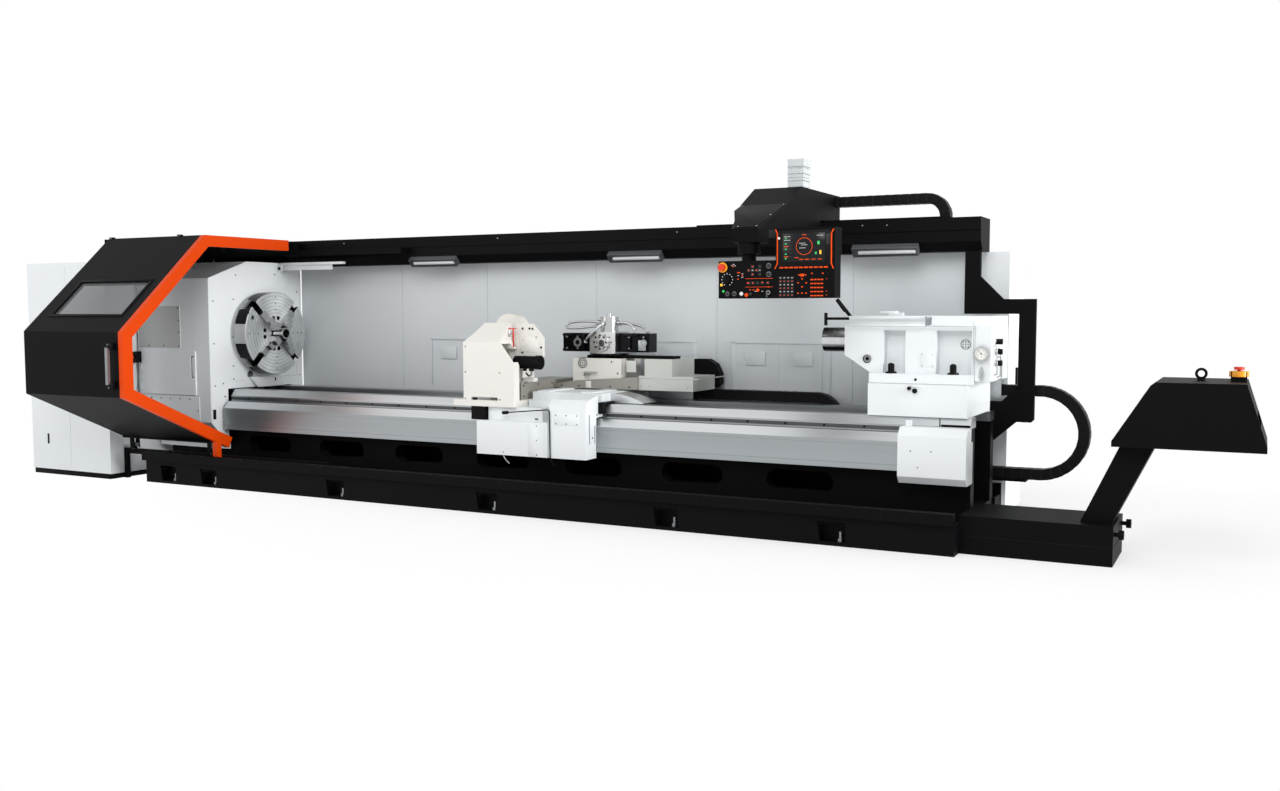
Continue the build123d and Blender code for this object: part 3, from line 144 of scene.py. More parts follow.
# %% Set the world and the lamps
ambient = 0.42
world = bpy.data.worlds.new("studio")
scene.world = world
world.use_nodes = True
tree = world.node_tree
tree.nodes.clear()
strength = add(tree, "MapRange", {"Value": seen_directly(tree), "To Min": ambient, "To Max": 1.0})
glow = add(tree, "Background", {"Color": white, "Strength": strength.outputs["Result"]})
add(tree, "OutputWorld", {"Surface": glow.outputs[0]})


def area_lamp(name, place, aim, size, watts):
    """A square soft lamp that looks from its place towards a point."""
    lamp = bpy.data.lights.new(name, "AREA")
    lamp.shape = "SQUARE"
    lamp.size = size
    lamp.energy = watts
    holder = bpy.data.objects.new(name, lamp)
    holder.location = place
    holder.rotation_euler = (Vector(aim) - Vector(place)).to_track_quat("-Z", "Y").to_euler()
    scene.collection.objects.link(holder)


area_lamp("key_lamp", (7.5, -9.0, 7.5), (4.0, 0.0, 1.0), 6.0, 600.0)
area_lamp("fill_lamp", (-3.0, -8.0, 4.5), (1.0, 0.0, 1.2), 6.0, 260.0)
area_lamp("side_lamp", (24.0, -2.0, 5.0), (0.0, 0.0, 1.3), 7.0, 3600.0)
print("lamps", len(bpy.data.lights), "ambient", ambient)

# %% [markdown]
# ## Materials
# Most of the machine is sheet steel with a baked coat. Close up such a coat has a fine orange peel, and over
# a metre its shade drifts a little. Ground and turned steel shows the direction in which it was cut, so its
# pattern is a noise stretched along the cut, or rings about the spindle.

# %% [markdown]
# ### Baked coats
# One recipe serves for every coated sheet. The peel is drawn 8 mm wide, coarser than the real 2 mm, so that it
# shows at this distance. The black coats are matt and reflect little, which keeps them black in a white room.


# %% Coats
def coated(name, code, drift, roughness, peel=0.05, coat=0.0, gloss=0.5):
    """Baked paint on sheet steel: colour that drifts over a metre, and an orange peel."""
    material, tree, shader = blank(name)
    place = add(tree, "TexCoord").outputs["Object"]
    cloud = add(tree, "TexNoise", {"Vector": place, "Scale": 1.3, "Detail": 2.0}).outputs["Fac"]
    skin = add(tree, "TexNoise", {"Vector": place, "Scale": 125.0, "Detail": 2.0}).outputs["Fac"]
    wire(tree, shader, {
        "Base Color": tinted(tree, cloud, shade(code, drift), linear(code)),
        "Normal": raised(tree, skin, peel, 0.002), "Roughness": roughness, "Specular IOR Level": gloss,
        "Coat Weight": coat, "Coat Roughness": 0.15})
    return material


white_coat = coated("white_baked_coat", "#E2E6E8", 0.04, 0.42, gloss=0.35)
wall_coat = coated("pale_grey_baked_coat", "#CBD0D3", 0.05, 0.45, gloss=0.3)
panel_coat = coated("grey_white_bolted_sheet", "#B9BBBA", 0.05, 0.42, gloss=0.35)
cream_coat = coated("cream_baked_coat", "#E0DED8", 0.04, 0.42, gloss=0.35)
black_coat = coated("satin_black_coat", "#060608", 0.25, 0.55, 0.08, gloss=0.07)
orange_coat = coated("orange_gloss_coat", "#D24000", 0.05, 0.4, 0.03, 0.0, 0.15)
# Painted highlight: a lighter, glossier copy of the orange coat for the trim's lit end faces.
orange_painted_highlight = coated("orange_coat_painted_highlight", "#F98418", 0.05, 0.32, 0.03, 0.1, 0.35)
beige_coat = coated("grey_beige_machine_paint", "#8E8B84", 0.08, 0.42)
base_coat = coated("silver_beige_machine_paint", "#D8D6D0", 0.1, 0.3)
box_coat = coated("light_grey_machine_paint", "#BDBFBA", 0.06, 0.42)
# The chuck's rim is bare steel with an oil film, and is drawn matt.
rim_steel = coated("oiled_rim_steel", "#A8ACAE", 0.08, 0.5)


# %% [markdown]
# ### Cut steel
# Ground ways carry fine lines along the bed. The face of a chuck carries rings from the turning tool, with
# shallow scribed circles every 33 mm that help to set the jaws by eye.


# %% Steels
def cut_steel(name, code, roughness, stretch, spread=0.12, drift=0.25):
    """Ground steel: a noise stretched along the cut gives streaks in shade, roughness and height."""
    material, tree, shader = blank(name)
    place = add(tree, "TexCoord").outputs["Object"]
    along = add(tree, "Mapping", {"Vector": place, "Scale": stretch}).outputs[0]
    streak = add(tree, "TexNoise", {"Vector": along, "Scale": 40.0, "Detail": 6.0}).outputs["Fac"]
    broad = add(tree, "TexNoise", {"Vector": along, "Scale": 3.0, "Detail": 2.0}).outputs["Fac"]
    rough = add(tree, "MapRange", {"Value": streak, "To Min": roughness - spread, "To Max": roughness + spread})
    wire(tree, shader, {
        "Base Color": tinted(tree, broad, shade(code, drift), linear(code)), "Roughness": rough.outputs[0],
        "Normal": raised(tree, streak, 0.12, 0.001), "Metallic": 1.0})
    return material


way_steel = cut_steel("ground_way_steel", "#AEB2B5", 0.32, (0.02, 1.0, 1.0))
# Painted highlight: a lighter copy of the ground way steel, for the faces that catch the light.
highlit_way_steel = cut_steel("ground_way_steel_painted_highlight", "#DDE0E2", 0.36, (0.02, 1.0, 1.0))
cover_steel = cut_steel("brushed_sheet_steel", "#A2A7AA", 0.42, (0.015, 1.0, 1.0))
bright_steel = cut_steel("bright_ground_steel", "#C4C5C5", 0.25, (1.0, 0.2, 0.2))
dark_steel = cut_steel("blackened_tool_steel", "#1B1B1D", 0.36, (1.0, 1.0, 1.0))
cast_iron = cut_steel("bare_cast_iron", "#5A5C5E", 0.6, (1.0, 1.0, 1.0))
zinc_steel = cut_steel("zinc_plated_screws", "#8F9294", 0.4, (1.0, 1.0, 1.0))

ring_pitch = 0.033
ring_share = 0.09
turn_per_mm = 6283.2  # two pi for each millimetre of feed, over a length in metres


def turned_steel(name, code, roughness, feed_mm, scribed):
    """Faced steel about the spindle's axis: fine feed rings, and scribed circles where asked for."""
    material, tree, shader = blank(name)
    place = add(tree, "TexCoord").outputs["Object"]
    centred = add(tree, "Mapping", {"Vector": place, "Location": (0.0, 0.0, -1.39), "Scale": (0.0, 1.0, 1.0)})
    reach = add(tree, "VectorMath", {0: centred.outputs[0]}, operation="LENGTH").outputs["Value"]
    feed = add(tree, "Math", {0: reach, 1: turn_per_mm / feed_mm}, operation="MULTIPLY").outputs[0]
    fine = add(tree, "Math", {0: feed}, operation="SINE").outputs[0]
    cloud = add(tree, "TexNoise", {"Vector": place, "Scale": 5.0, "Detail": 3.0}).outputs["Fac"]
    base = tinted(tree, cloud, shade(code, 0.25), linear(code))
    if scribed:
        steps = add(tree, "Math", {0: reach, 1: ring_pitch}, operation="DIVIDE").outputs[0]
        within = add(tree, "Math", {0: steps}, operation="FRACT").outputs[0]
        line = add(tree, "Math", {0: within, 1: ring_share}, operation="LESS_THAN").outputs[0]
        base = add(tree, "Mix", {0: line, 6: base, 7: shade(code, 0.72)}, data_type="RGBA").outputs[2]
    rough = add(tree, "MapRange", {"Value": cloud, "To Min": roughness, "To Max": roughness + 0.14})
    wire(tree, shader, {
        "Base Color": base, "Normal": raised(tree, fine, 0.08, 0.0006), "Roughness": rough.outputs[0],
        "Metallic": 1.0, "Anisotropic": 0.35,
        "Tangent": add(tree, "Tangent", direction_type="RADIAL", axis="X").outputs[0]})
    return material


chuck_steel = turned_steel("faced_chuck_steel", "#E2E5E6", 0.42, 11.0, True)
quill_steel = turned_steel("hard_chromed_quill", "#D6D8DA", 0.12, 40.0, False)

# %% [markdown]
# ### Braided hose
# The coolant hoses have a sleeve of fine steel wire. Its wires are too fine to see from here, so a slanting
# wave of two greys is drawn a few millimetres wide, and reads as a bright, crawling sheen.

# %% Braid
braid, tree, shader = blank("braided_steel_sleeve")
place = add(tree, "TexCoord").outputs["Object"]
wires = add(tree, "TexWave", {"Vector": place, "Scale": 55.0, "Distortion": 1.5},
    bands_direction="DIAGONAL").outputs["Fac"]
wire(tree, shader, {
    "Base Color": tinted(tree, wires, linear("#77797A"), linear("#D9DADA")),
    "Normal": raised(tree, wires, 0.3, 0.001), "Metallic": 1.0, "Roughness": 0.3})
print("braid nodes", len(tree.nodes))

# %% [markdown]
# ### Plastics, rubber, glass and light
# Moulded parts have a fine grain, and the orange and pale keys glow faintly as painted light. The window is a
# thin sheet of polycarbonate drawn part opaque in dark grey, as painted shade for the dim space behind it, and
# the lamps are frosted.


# %% Moulded and clear finishes
def moulded(name, code, roughness, grain=0.05, glow_strength=0.0, gloss=0.5):
    """Moulded plastic or rubber with a fine grain, glowing where a glow strength is given."""
    material, tree, shader = blank(name)
    place = add(tree, "TexCoord").outputs["Object"]
    grit = add(tree, "TexNoise", {"Vector": place, "Scale": 260.0, "Detail": 3.0}).outputs["Fac"]
    wire(tree, shader, {
        "Base Color": tinted(tree, grit, shade(code, 0.18), linear(code)),
        "Normal": raised(tree, grit, grain, 0.001), "Roughness": roughness, "Specular IOR Level": gloss,
        "Emission Color": linear(code), "Emission Strength": glow_strength})
    return material


black_nylon = moulded("black_nylon", "#08080A", 0.5, 0.12, gloss=0.12)
nitrile = moulded("nitrile_rubber", "#08080A", 0.62, 0.2, gloss=0.1)
red_knob = moulded("red_moulded_knob", "#D8300C", 0.3)
yellow_shell = moulded("yellow_switch_shell", "#F5A012", 0.35)
frosted = moulded("frosted_lamp_tube", "#C9CDCD", 0.35)
lamp_grey = moulded("dark_grey_lamp_tray", "#4A4D4F", 0.4)
lens_plastic = moulded("clear_tower_lens", "#C9CED0", 0.18)
key_plastic = moulded("dark_key_caps", "#232325", 0.4, gloss=0.3)
# Painted glow: the orange and pale keys and marks give a faint light of their own, though no lamp is behind
# them; on the screen the orange bars are the screen's own light.
orange_print_painted_glow = moulded("orange_key_caps_painted_glow", "#E24A08", 0.5, 0.0, 0.12, 0.2)
pale_print_painted_glow = moulded("pale_key_caps_painted_glow", "#D9DADA", 0.4, 0.0, 0.1)
green_lamp = moulded("green_key_lamp", "#2FB45A", 0.4, 0.0, 0.5)
amber_lamp = moulded("amber_key_lamp", "#F5B32A", 0.4, 0.0, 0.5)
screen_face = moulded("dark_screen_glass", "#141517", 0.12, 0.0, gloss=0.2)
dial_paper = moulded("white_dial_card", "#F1F1EC", 0.5, 0.0)

# Painted shade: the pane is a part-opaque dark grey sheet that stands for the dim space seen through it; its
# haze only varies the roughness.
window_painted_shade, tree, shader = blank("polycarbonate_painted_shade")
place = add(tree, "TexCoord").outputs["Object"]
haze = add(tree, "TexNoise", {"Vector": place, "Scale": 9.0, "Detail": 3.0}).outputs["Fac"]
wipe = add(tree, "MapRange", {"Value": haze, "To Min": 0.05, "To Max": 0.14}).outputs[0]
wire(tree, shader, {"Roughness": wipe, "Base Color": linear("#3C3F42"), "IOR": 1.58, "Alpha": 0.55})
print("materials", len(bpy.data.materials))

# %% Give each node its finish
finishes = {
    black_coat: "base_tray bed_casting main_motor gantry_beam door_rail chip_conveyor door_shell "
        "pendant_arm operator_panel feed_motor",
    zinc_steel: "levelling_bolts door_handle",
    way_steel: "guideways gear_rack",
    cover_steel: "front_way_cover",
    white_coat: "headstock_casing electrical_cabinets drive_cover access_door saddle apron tailstock_base "
        "tailstock_body",
    cast_iron: "headstock_casting motor_pulley",
    bright_steel: "spindle_bearings spindle chuck_jaw_1 chuck_jaw_2 chuck_jaw_3 chuck_jaw_4 "
        "door_roller_left door_roller_right z_pinion turret_head",
    wall_coat: "rear_wall",
    lamp_grey: "work_lamps",
    dark_steel: "lifting_eye chuck_bolts tool_holders",
    red_knob: "stop_button emergency_button",
    chuck_steel: "chuck_body",
    nitrile: "drive_belts way_wipers",
    orange_coat: "door_trim",
    window_painted_shade: "door_window",
    lens_plastic: "signal_tower",
    black_nylon: "mode_dial pendant_chain tailstock_chain carriage_chain tailstock_fittings clamp_lever",
    beige_coat: "cross_cover cross_slide",
    cream_coat: "drive_guard",
    box_coat: "rear_boxes",
    braid: "coolant_hoses",
    quill_steel: "quill",
}
for finish, names in finishes.items():
    for name in names.split():
        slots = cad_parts[name].data.materials
        slots.clear()
        slots.append(finish)
print("finished nodes", len(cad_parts))

# %% [markdown]
# ### Second finishes
# Some solids carry two finishes, such as the black base plate that is part of the cross slide. A second
# material slot does this without a new piece: the faces whose middles lie between two corners take it.
# The last box paints the walls of the chuck's slots with the near-black steel as painted shade, and also takes
# in some faces of its rim, which show too dark.


# %% Second finishes
def repaint(node, finish, low, high):
    """Gives the faces of a node whose middles lie between two corners a second finish."""
    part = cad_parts[node]
    part.data.materials.append(finish)
    number = len(part.data.materials) - 1
    touched = 0
    for face in part.data.polygons:
        if all(low[i] - 1e-4 <= face.center[i] <= high[i] + 1e-4 for i in range(3)):
            face.material_index = number
            touched += 1
    print("second finish on", node, "faces", touched)


# Painted highlights: the way's front face, a band along the top of the way cover and the saddle's lower right
# faces take the lighter copy of the ground steel.
repaint("guideways", highlit_way_steel, (-0.2, -0.43, 0.8), (6.9, -0.38, 0.859))
repaint("front_way_cover", highlit_way_steel, (-0.2, -0.51, 0.7), (6.9, -0.44, 0.751))
repaint("saddle", highlit_way_steel, (3.905, -0.51, 0.76), (4.31, 0.55, 0.96))
repaint("front_way_cover", cast_iron, (-0.2, -0.46, 0.7495), (6.9, -0.42, 0.7505))
repaint("chuck_body", rim_steel, (-0.149, -0.41, 0.98), (-0.006, 0.41, 1.8))
repaint("cross_cover", cream_coat, (2.99, -0.51, 1.021), (3.4, -0.32, 1.51))
repaint("cross_slide", base_coat, (3.384, -0.021, 1.01), (3.851, 0.331, 1.211))
repaint("cross_slide", black_coat, (3.47, -0.03, 1.2101), (4.3, 0.26, 1.235))
repaint("rear_boxes", black_coat, (4.3081, 0.431, 0.95), (4.55, 0.521, 1.201))
repaint("turret_head", dark_steel, (3.4, -0.1, 1.23), (3.9, 0.3, 1.2495))
repaint("way_wipers", white_coat, (2.81, -0.7, 0.831), (2.96, -0.5, 0.84))
# Painted highlight: the door trim's right end faces take the lighter orange.
repaint("door_trim", orange_painted_highlight, (0.09, -2.0, 0.2), (0.1001, 0.1, 2.31))
repaint("headstock_casing", panel_coat, (-1.141, -0.666, 1.255), (-0.572, -0.6645, 1.656))
repaint("headstock_casing", black_nylon, (-1.161, -0.745, 1.1), (-1.105, -0.6601, 1.217))
# Painted shade: the chuck's slot walls take the near-black steel, and rim faces in the same box turn dark with
# them.
repaint("chuck_body", dark_steel, (-0.1, -0.39, 1.0), (-0.0035, 0.39, 1.78))

# %% [markdown]
# ## Floor
# A plain pale floor takes the machine's shadow. Away from the machine it passes into plain white, so that no
# horizon shows.

# %% Lay the floor
floor_finish, tree, shader = blank("pale_studio_floor")
bright = add(tree, "Emission", {"Color": white, "Strength": 1.0})
place = add(tree, "TexCoord").outputs["Object"]
middle = add(tree, "Mapping", {"Vector": place, "Location": (-3.0, 0.0, 0.0), "Scale": (0.45, 1.0, 1.0)})
reach = add(tree, "VectorMath", {0: middle.outputs[0]}, operation="LENGTH").outputs["Value"]
far = add(tree, "MapRange", {"Value": reach, "From Min": 1.0, "From Max": 3.4, "To Min": 0.5,
    "To Max": 1.0}).outputs[0]
shown = add(tree, "Math", {0: far, 1: seen_directly(tree)}, operation="MULTIPLY").outputs[0]
mixed = add(tree, "MixShader", {0: shown, 1: shader.outputs[0], 2: bright.outputs[0]})
tree.links.new(mixed.outputs[0], [n for n in tree.nodes if n.type == "OUTPUT_MATERIAL"][0].inputs["Surface"])
wire(tree, shader, {"Base Color": linear("#F4F4F4"), "Roughness": 0.7})
ground = bmesh.new()
floor_half = 60.0
bmesh.ops.create_grid(ground, x_segments=1, y_segments=1, size=floor_half)
floor_mesh = bpy.data.meshes.new("studio_floor")
ground.to_mesh(floor_mesh)
ground.free()
floor = bpy.data.objects.new("studio_floor", floor_mesh)
floor_mesh.materials.append(floor_finish)
scene.collection.objects.link(floor)
print("floor half width", floor_half)

# %% [markdown]
# ## Small pieces
# The pieces that follow are the screws, knobs, seams and covers that the solids leave out. Each is a bmesh of
# blocks, bars, spun rings and plates, or a curve with a round section. Most blocks and bars get their edges
# rounded, because a sharp edge catches no light.


# %% Shaping helpers
def ease(shape, edges, width):
    """Rounds some edges off over a width."""
    return bmesh.ops.bevel(shape, geom=edges, offset=width, affect="EDGES", segments=2, profile=0.5,
                           material=-1)


def stood(place, facing):
    """The matrix that stands a shape at a place, its own z axis along a direction."""
    return Matrix.Translation(place) @ Vector(facing).to_track_quat("Z", "Y").to_matrix().to_4x4()


def block_in(shape, low, high, edge=0.0):
    """A block between two corners, its edges rounded."""
    made = bmesh.ops.create_cube(shape, size=1.0)["verts"]
    bmesh.ops.scale(shape, vec=[high[i] - low[i] for i in range(3)], verts=made)
    bmesh.ops.translate(shape, vec=[(high[i] + low[i]) / 2 for i in range(3)], verts=made)
    if edge:
        ease(shape, list({line for corner in made for line in corner.link_edges}), edge)


def bar_in(shape, start, end, radius, far=None, sides=20, edge=0.0):
    """A round bar or cone between two points, the rims of its ends rounded."""
    run = Vector(end) - Vector(start)
    made = bmesh.ops.create_cone(shape, cap_ends=True, segments=sides, radius1=radius,
                                 radius2=radius if far is None else far, depth=run.length)["verts"]
    rims = [line for line in {e for v in made for e in v.link_edges}
            if abs(line.verts[0].co.z - line.verts[1].co.z) < 1e-7]
    if edge:
        made = set(made)
        cut = ease(shape, rims, edge)
        made = [v for v in made if v.is_valid] + [v for v in cut["verts"] if v.is_valid and v not in made]
    bmesh.ops.transform(shape, matrix=stood((Vector(start) + Vector(end)) / 2, run), verts=list(set(made)))


def screw_in(shape, place, facing, radius=0.006, height=0.004, socket=True):
    """A cap screw: a slightly tapered round head with a socket sunk into it."""
    made = bmesh.ops.create_cone(shape, cap_ends=True, segments=12, radius1=radius, radius2=radius * 0.9,
                                 depth=height)["verts"]
    if socket:
        top = max({f for v in made for f in v.link_faces}, key=lambda f: f.calc_center_median().z)
        bmesh.ops.inset_individual(shape, faces=[top], thickness=radius * 0.42)
        made = list(set(made) | set(top.verts))
        bmesh.ops.translate(shape, vec=(0, 0, -height * 0.7), verts=list(top.verts))
    bmesh.ops.transform(shape, matrix=stood(Vector(place) + Vector(facing) * height / 2, facing), verts=made)


def spread(start):
    """All vertices joined to the first ones by edges."""
    found = set(start)
    edge = list(found)
    while edge:
        for line in edge.pop().link_edges:
            for corner in line.verts:
                if corner not in found:
                    found.add(corner)
                    edge.append(corner)
    return list(found)


def ring_in(shape, middle, facing, inner, outer, height, sides=32, stretch=(1.0, 1.0)):
    """A ring that stands proud of a surface, spun from its section, and stretched where it is oval."""
    corners = ((inner, 0), (outer, 0), (outer, height * 0.7), (outer * 0.97, height), (inner, height))
    section = [shape.verts.new((x, 0, z)) for x, z in corners]
    loop = [shape.edges.new((section[i], section[(i + 1) % len(section)])) for i in range(len(section))]
    bmesh.ops.spin(shape, geom=section + loop, cent=(0, 0, 0), axis=(0, 0, 1), angle=math.tau, steps=sides,
                   use_merge=True)
    oval = Matrix.Diagonal((*stretch, 1.0, 1.0))
    bmesh.ops.transform(shape, matrix=stood(middle, facing) @ oval, verts=spread(section))


def slab_in(shape, corners, push, edge=0.0):
    """A plate from the corners of its face, pushed out along a vector."""
    face = shape.faces.new([shape.verts.new(corner) for corner in corners])
    grown = bmesh.ops.extrude_face_region(shape, geom=[face])["geom"]
    bmesh.ops.translate(shape, vec=push, verts=[v for v in grown if isinstance(v, bmesh.types.BMVert)])
    if edge:
        ease(shape, list({line for v in spread(face.verts[:]) for line in v.link_edges}), edge)


made_names = []


def tell(step):
    """Prints the pieces that a step made."""
    print(step, len(made_names), ", ".join(made_names))
    made_names.clear()


def piece(name, shape, finish, body, round_over=35.0):
    """Turns a finished bmesh into a named piece on a body, smooth where its faces nearly meet flat."""
    bmesh.ops.recalc_face_normals(shape, faces=shape.faces)
    mesh = bpy.data.meshes.new(name)
    shape.to_mesh(mesh)
    shape.free()
    mesh.materials.append(finish)
    mesh.shade_smooth()
    mesh.set_sharp_from_angle(angle=math.radians(round_over))
    made = bpy.data.objects.new(name, mesh)
    scene.collection.objects.link(made)
    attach(made, body)
    made_names.append(name)
    return made


def screws(name, body, finish, facing, places, radius=0.006, height=0.004):
    """One piece that holds a row of screws on one face."""
    shape = bmesh.new()
    for place in places:
        screw_in(shape, place, facing, radius, height)
    return piece(name, shape, finish, body)


def slabs(name, body, finish, faces, push, edge=0.0):
    """One piece made of plates, each from the corners of its face, all pushed out along one vector."""
    shape = bmesh.new()
    for corners in faces:
        slab_in(shape, corners, push, edge)
    return piece(name, shape, finish, body)


def blocks(name, body, finish, corners, edge=0.002):
    """One piece made of rounded blocks, each between two corners."""
    shape = bmesh.new()
    for low, high in corners:
        block_in(shape, low, high, edge)
    return piece(name, shape, finish, body)


def bars(name, body, finish, runs, edge=0.0015, sides=20):
    """One piece made of round bars, each a start, an end and a radius."""
    shape = bmesh.new()
    for start, end, radius in runs:
        bar_in(shape, start, end, radius, sides=sides, edge=min(edge, radius * 0.3))
    return piece(name, shape, finish, body)


def pipe(name, body, finish, points, radius, order=3):
    """A bent pipe: a smooth curve with a round section."""
    curve = bpy.data.curves.new(name, "CURVE")
    curve.dimensions = "3D"
    curve.bevel_depth = radius
    curve.bevel_resolution = 3
    curve.use_fill_caps = True
    line = curve.splines.new("NURBS")
    line.points.add(len(points) - 1)
    for point, place in zip(line.points, points):
        point.co = (*place, 1.0)
    line.order_u = order
    line.use_endpoint_u = True
    line.resolution_u = 6
    made = bpy.data.objects.new(name, curve)
    scene.collection.objects.link(made)
    curve.materials.append(finish)
    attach(made, body)
    made_names.append(name)
    return made


def at_y(y, places):
    """Places on a plane that faces the operator, from their (x, z) pairs."""
    return [(x, y, z) for x, z in places]


def at_x(x, places):
    """Places on a plane that faces the tailstock, from their (y, z) pairs."""
    return [(x, y, z) for y, z in places]


def between(near, far, faces):
    """Corners of blocks between two depths, from the (left, low, right, high) of their faces."""
    return [((left_x, near, low), (right_x, far, high)) for left_x, low, right_x, high in faces]


def ring(name, body, finish, middle, facing, inner, outer, height, sides=32, stretch=(1.0, 1.0)):
    """One piece that is a single ring."""
    shape = bmesh.new()
    ring_in(shape, middle, facing, inner, outer, height, sides, stretch)
    return piece(name, shape, finish, body)


front = (0, -1, 0)
right = (1, 0, 0)
above = (0, 0, 1)
print("directions", front, right, above)

# %% [markdown]
# ## Coolant hoses
# Four braided hoses run from the turret's cap to the tool blocks. They are fixed at both ends, stiff, and
# 20 mm across, so each is one smooth NURBS curve over the same points as its solid, about the turret's axis.

# %% Lay the hoses
turret_axis = (3.665, 0.115)
hose_radius = 0.01
cap_edge = 0.078
hose_routes = {
    "hose_left": ((-cap_edge, -0.01, 1.512), (-0.19, -0.014, 1.518), (-0.33, -0.026, 1.514),
                  (-0.394, -0.045, 1.492), (-0.392, -0.062, 1.466), (-0.325, -0.074, 1.455),
                  (-0.19, -0.06, 1.466), (-0.086, -0.036, 1.48)),
    "hose_right_near": ((cap_edge, -0.01, 1.508), (0.15, -0.016, 1.51), (0.215, -0.03, 1.494),
                        (0.262, -0.04, 1.462), (0.268, -0.042, 1.422)),
    "hose_right_far": ((cap_edge, 0.028, 1.496), (0.165, 0.03, 1.5), (0.27, 0.03, 1.484),
                       (0.345, 0.024, 1.454), (0.356, 0.02, 1.422)),
    "hose_front": ((-0.01, -cap_edge - 0.008, 1.506), (-0.022, -0.11, 1.486), (-0.064, -0.144, 1.44),
                   (-0.118, -0.152, 1.394), (-0.168, -0.12, 1.352), (-0.176, -0.084, 1.338)),
}


def run_length(made):
    """The length of a curve's own line, read from it with its round section taken away."""
    section, made.data.bevel_depth = made.data.bevel_depth, 0.0
    line = bpy.data.meshes.new_from_object(made)
    made.data.bevel_depth = section
    total = sum((line.vertices[e.vertices[0]].co - line.vertices[e.vertices[1]].co).length for e in line.edges)
    bpy.data.meshes.remove(line)
    return total


collars = bmesh.new()
for name, route in hose_routes.items():
    points = [(turret_axis[0] + x, turret_axis[1] + y, z) for x, y, z in route]
    hose = pipe(name, "turret", braid, points, hose_radius)
    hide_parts("coolant_hoses")
    round(run_length(hose), 2)
    for end, nearer in ((points[0], points[1]), (points[-1], points[-2])):
        away = (Vector(nearer) - Vector(end)).normalized()
        bar_in(collars, Vector(end) - away * 0.004, Vector(end) + away * 0.03, 0.0145, sides=6, edge=0.001)
    print(name, "length", round(run_length(hose), 3))
piece("hose_collars", collars, bright_steel, "turret")
tell("hoses")

# %% [markdown]
# ## Headstock
# The white casing is bolted together from sheets. Along the open end a raised border stiffens the face plate,
# and under the chuck a cover sheds chips onto the bed. A round plug, an oval slot and a few black sockets sit
# low on the plate. The places come from the photograph, in metres on the face plate.

# %% Casing pieces
face_x = -0.2
front_y = -0.66
border = 0.024
casing_edge = ((-0.66, 0.557), (-0.66, 1.914), (-0.18, 2.085), (0.246, 2.085))
inner_edge = ((-0.66 + border, 0.557), (-0.66 + border, 1.897), (-0.176, 2.061), (0.246, 2.061))
edges = [at_x(face_x, (casing_edge[i], casing_edge[i + 1], inner_edge[i + 1], inner_edge[i])) for i in range(3)]
slabs("casing_border", "frame", white_coat, edges, (0.006, 0, 0), 0.0015)
slabs("nose_apron", "frame", white_coat, [
    at_x(face_x, ((-0.186, 0.966), (-0.095, 0.864), (0.272, 0.864), (0.205, 0.972)))], (0.042, 0, 0), 0.004)
screws("face_screws", "frame", dark_steel, right,
       at_x(face_x, ((-0.313, 1.952), (0.2, 1.97), (-0.364, 1.356), (-0.368, 1.081), (-0.368, 0.955),
        (-0.498, 0.918), (-0.482, 0.793), (-0.35, 1.72), (0.5, 1.8), (0.52, 1.6), (0.51, 1.14), (0.52, 0.955),
        (-0.6, 1.7), (-0.6, 1.3), (-0.6, 0.9))), 0.007, 0.003)
plug = bmesh.new()
plug_spot = Vector((face_x, -0.159, 0.99))
ring_in(plug, plug_spot, right, 0.027, 0.036, 0.006)
bar_in(plug, plug_spot, plug_spot + Vector((0.004, 0, 0)), 0.028, sides=24, edge=0.001)
piece("plug_disc", plug, zinc_steel, "frame")
blocks("face_sockets", "frame", black_nylon, [
    ((face_x - 0.001, -0.632, 0.585), (face_x + 0.007, -0.598, 0.677)),
    ((face_x - 0.001, 0.02, 0.835), (-0.15, 0.06, 0.862)),
    ((face_x - 0.001, 0.172, 0.838), (-0.15, 0.212, 0.864)),
    ((face_x - 0.001, -0.24, 0.836), (-0.16, -0.2, 0.864)),
    ((face_x - 0.001, 0.13, 0.914), (face_x + 0.047, 0.144, 0.95))], 0.005)
blocks("face_seams", "frame", panel_coat, [
    ((face_x, -0.354, 0.932), (face_x + 0.0015, -0.246, 0.935)),
    ((face_x, 0.223, 0.95), (face_x + 0.0015, 0.503, 0.954)),
    ((face_x, 0.478, 0.955), (face_x + 0.0015, 0.481, 1.09)),
    ((face_x, 0.54, 1.64), (face_x + 0.0015, 0.543, 1.98))], 0.0)
screws("front_screws", "frame", dark_steel, front,
       at_y(front_y - 0.005, ((-0.593, 1.636), (-0.593, 1.52), (-0.593, 1.405), (-0.593, 1.276),
        (-0.8, 1.276), (-1.0, 1.276), (-0.36, 0.664), (-0.697, 0.632),
        *((-1.116 + 0.13 * i, 0.772) for i in range(6)))), 0.007, 0.003)
screws("rail_bracket_screw", "frame", dark_steel, front, [(-0.169, 0.236, 2.03)], 0.016, 0.006)
blocks("switch_base", "frame", box_coat, [((-1.104, -0.664, 1.113), (-1.064, -0.6595, 1.222))], 0.002)
screws("switch_screws", "frame", dark_steel, front,
       at_y(-0.664, [(x, z) for x in (-1.094, -1.074) for z in (1.125, 1.21)]), 0.005, 0.003)
bars("switch_button", "frame", red_knob, [((-1.133, -0.744, 1.163), (-1.133, -0.75, 1.163), 0.013)])
pull_left, pull_low, pull_high = -0.4295, 0.9755, 1.1815
blocks("access_pull", "access_door", black_nylon, between(-0.6672, -0.6662, (
    (pull_left, pull_low, -0.421, pull_high), (pull_left, 1.172, -0.3885, pull_high),
    (pull_left, pull_low, -0.4, 0.983))), 0.0)
